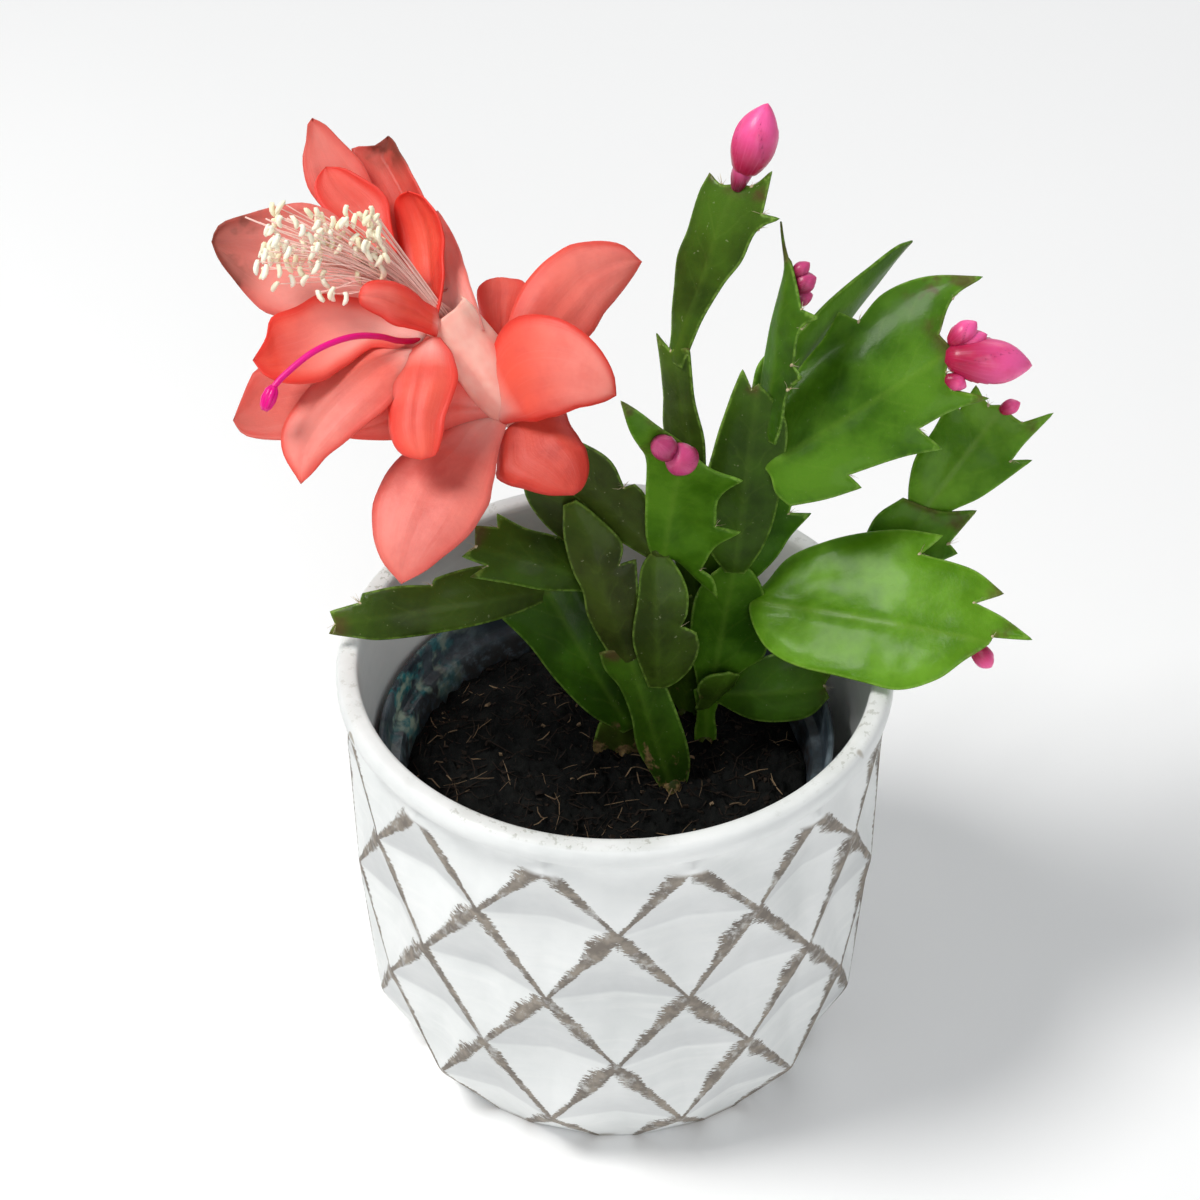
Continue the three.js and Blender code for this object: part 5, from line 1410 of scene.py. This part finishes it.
def petal_flesh():
    """Soft petal: coral, pinker in the middle, redder at the edge, with fine veins along it."""
    material, w = new_material("petal_flesh", roughness=0.5, specular=0.35)
    here = w.here()
    _, v, _ = w.split(w.surface())
    red, green, edge, pale = w.value("red"), w.value("green"), w.value("edge"), w.value("pale")
    cloud, grain = mottle(w, here, 70.0, 900.0)
    veins = w.noise(w.stretch(w.surface(), (30.0, 2.2, 1.0)), 1.0, detail=3.0, roughness=0.6)
    pink = w.mix(cloud, srgb(208, 98, 88), srgb(230, 128, 116))
    coral = w.mix(cloud, srgb(228, 66, 50), srgb(238, 92, 72))
    colour = w.mix(w.scaled(w.less(cloud, 0.5), 0.3, red, clamp=True), pink, coral)
    # whitish at the root, redder along the edge, brownish green at the tip of the outer ones
    root = w.less(1.0, w.math("DIVIDE", v, w.math("MAXIMUM", pale, 0.05)), clamp=True)
    inner = w.ramp(edge, 0.5, 5.0)
    colour = w.mix(w.times(root, w.scaled(inner, 0.5, 0.4)), colour, srgb(250, 206, 196))
    hot = w.times(w.ramp(edge, 0.0, 3.6, 1.0, 0.0), w.ramp(red, 0.0, 1.0, 0.3, 0.85))
    colour = w.mix(hot, colour, srgb(226, 50, 38))
    tip = w.times(w.ramp(v, 0.62, 1.0), w.times(green, w.ramp(cloud, 0.2, 0.9, 0.35, 1.0)))
    colour = w.mix(w.times(tip, 0.78, clamp=True), colour, srgb(112, 54, 40))
    colour = w.mix(w.ramp(veins, 0.5, 0.8, 0.0, 0.1), colour, srgb(248, 172, 162))
    # paler towards the tip, away from the edge: partly the petal's own paler tone, partly a painted highlight
    bright = w.times(w.times(w.ramp(v, 0.35, 0.8), w.ramp(edge, 0.0, 2.5)), w.value("glow"))
    colour = w.mix(w.times(bright, w.ramp(cloud, 0.1, 0.9, 0.65, 0.9)), colour, srgb(252, 158, 146))
    # painted shade: the whole petal darker, mottled, by its share
    colour = w.mix(w.times(w.value("dim"), w.ramp(cloud, 0.2, 0.8, 0.65, 0.5)), colour, srgb(150, 44, 32))
    dress(material, w, colour=colour, roughness=w.scaled(veins, 0.2, 0.4),
          normal=w.bump(w.scaled(grain, 0.3, veins), 0.0002, 0.4))
    flesh_light(material, 0.35, (1.0, 0.3, 0.22), 0.003)
    return material


def tube_flesh():
    """Nearly white flesh, pinker at the foot, with faint streaks along it."""
    material, w = new_material("tube_flesh", roughness=0.45, specular=0.4)
    here = w.here()
    up = w.value("up")
    cloud = w.noise(here, 90.0, detail=3.0)
    streak = w.noise(w.stretch(here, (300.0, 300.0, 60.0)), 1.0, detail=2.0)
    colour = w.mix(w.ramp(cloud, 0.35, 0.65), srgb(255, 200, 184), srgb(247, 166, 152))
    colour = w.mix(w.ramp(up, 0.0, 0.24, 0.9, 0.0), colour, srgb(214, 92, 110))
    colour = w.mix(w.ramp(streak, 0.5, 0.8, 0.0, 0.2), colour, srgb(255, 214, 200))
    dress(material, w, colour=colour, roughness=w.scaled(cloud, 0.2, 0.34),
          normal=w.bump(streak, 0.0003, 0.5))
    flesh_light(material, 0.35, (1.0, 0.4, 0.3), 0.003)
    return material


def style_flesh():
    """Glossy red, more magenta towards the stigma."""
    material, w = new_material("style_flesh", roughness=0.34, specular=0.3, coat=0.15)
    here = w.here()
    up = w.value("up")
    cloud = w.noise(here, 400.0, detail=2.0)
    colour = w.mix(w.ramp(up, 0.2, 0.8), srgb(196, 10, 62), srgb(232, 0, 132))
    colour = w.mix(w.ramp(cloud, 0.45, 0.75, 0.0, 0.3), colour, srgb(222, 10, 130))
    dress(material, w, colour=colour, roughness=w.scaled(cloud, 0.3, 0.2),
          normal=w.bump(cloud, 0.0002, 0.5))
    return material


# ---- floor, light and camera ----
CAMERA_AT = (-0.00353, -0.56315, 0.6133)
CAMERA_TILT = math.radians(49.29)
CAMERA_LENS, CAMERA_SENSOR = 97.13, 36
ROOM_COLOUR, ROOM_STRENGTH = (0.94, 0.97, 1.0, 1), 0.34
# name, place, what it is aimed at, size, power and colour
LIGHTS = [("window", (-0.62, -0.12, 1.15), (0, 0, 0.12), 0.45, 11.5, (1.0, 0.99, 0.97)),
          ("front_fill", (0.3, -1.3, 0.7), (0, 0, 0.1), 0.9, 5.0, (1, 1, 1)),
          ("back_light", (0.5, 0.9, 0.9), (0, 0, 0.12), 0.7, 2.5, (1, 1, 1))]


def build_floor():
    """A white floor, which is no part of the piece."""
    bpy.ops.object.select_all(action="DESELECT")
    bpy.ops.mesh.primitive_plane_add(size=8, location=(0, 0, 0))
    floor = bpy.context.object
    floor.name = "floor"
    material, w = new_material("floor_white", roughness=0.9, specular=0.1)
    faint = w.noise(w.here(), 3.0, detail=2.0)
    dress(material, w, colour=w.mix(faint, srgb(250, 250, 250), srgb(254, 254, 254)))
    floor.data.materials.append(material)


def hold(name, thing, place, turn):
    """Puts a lamp or a camera in the scene."""
    holder = bpy.data.objects.new(name, thing)
    holder.location = place
    holder.rotation_euler = turn
    bpy.context.scene.collection.objects.link(holder)
    return holder


def build_stage():
    """The floor, a soft room round it, three lights and the camera."""
    build_floor()
    world = bpy.data.worlds.new("soft_room")
    bpy.context.scene.world = world
    world.use_nodes = True
    world.node_tree.nodes["Background"].inputs["Color"].default_value = ROOM_COLOUR
    world.node_tree.nodes["Background"].inputs["Strength"].default_value = ROOM_STRENGTH
    bpy.context.scene.view_settings.view_transform = "Standard"
    for name, place, aim, size, power, colour in LIGHTS:
        lamp = bpy.data.lights.new(name, "AREA")
        lamp.shape = "DISK"
        lamp.size = size
        lamp.energy = power
        lamp.color = colour
        hold(name, lamp, place, (Vector(aim) - Vector(place)).to_track_quat("-Z", "Y").to_euler())
    eye = bpy.data.cameras.new("eye")
    eye.lens = CAMERA_LENS
    eye.sensor_width = CAMERA_SENSOR
    eye.clip_start, eye.clip_end = 0.05, 20
    bpy.context.scene.camera = hold("eye", eye, CAMERA_AT, (CAMERA_TILT, 0, 0))


build_cover_pot()
build_nursery_pot()
build_soil()
build_stems()
build_buds()
build_bloom()
build_stage()
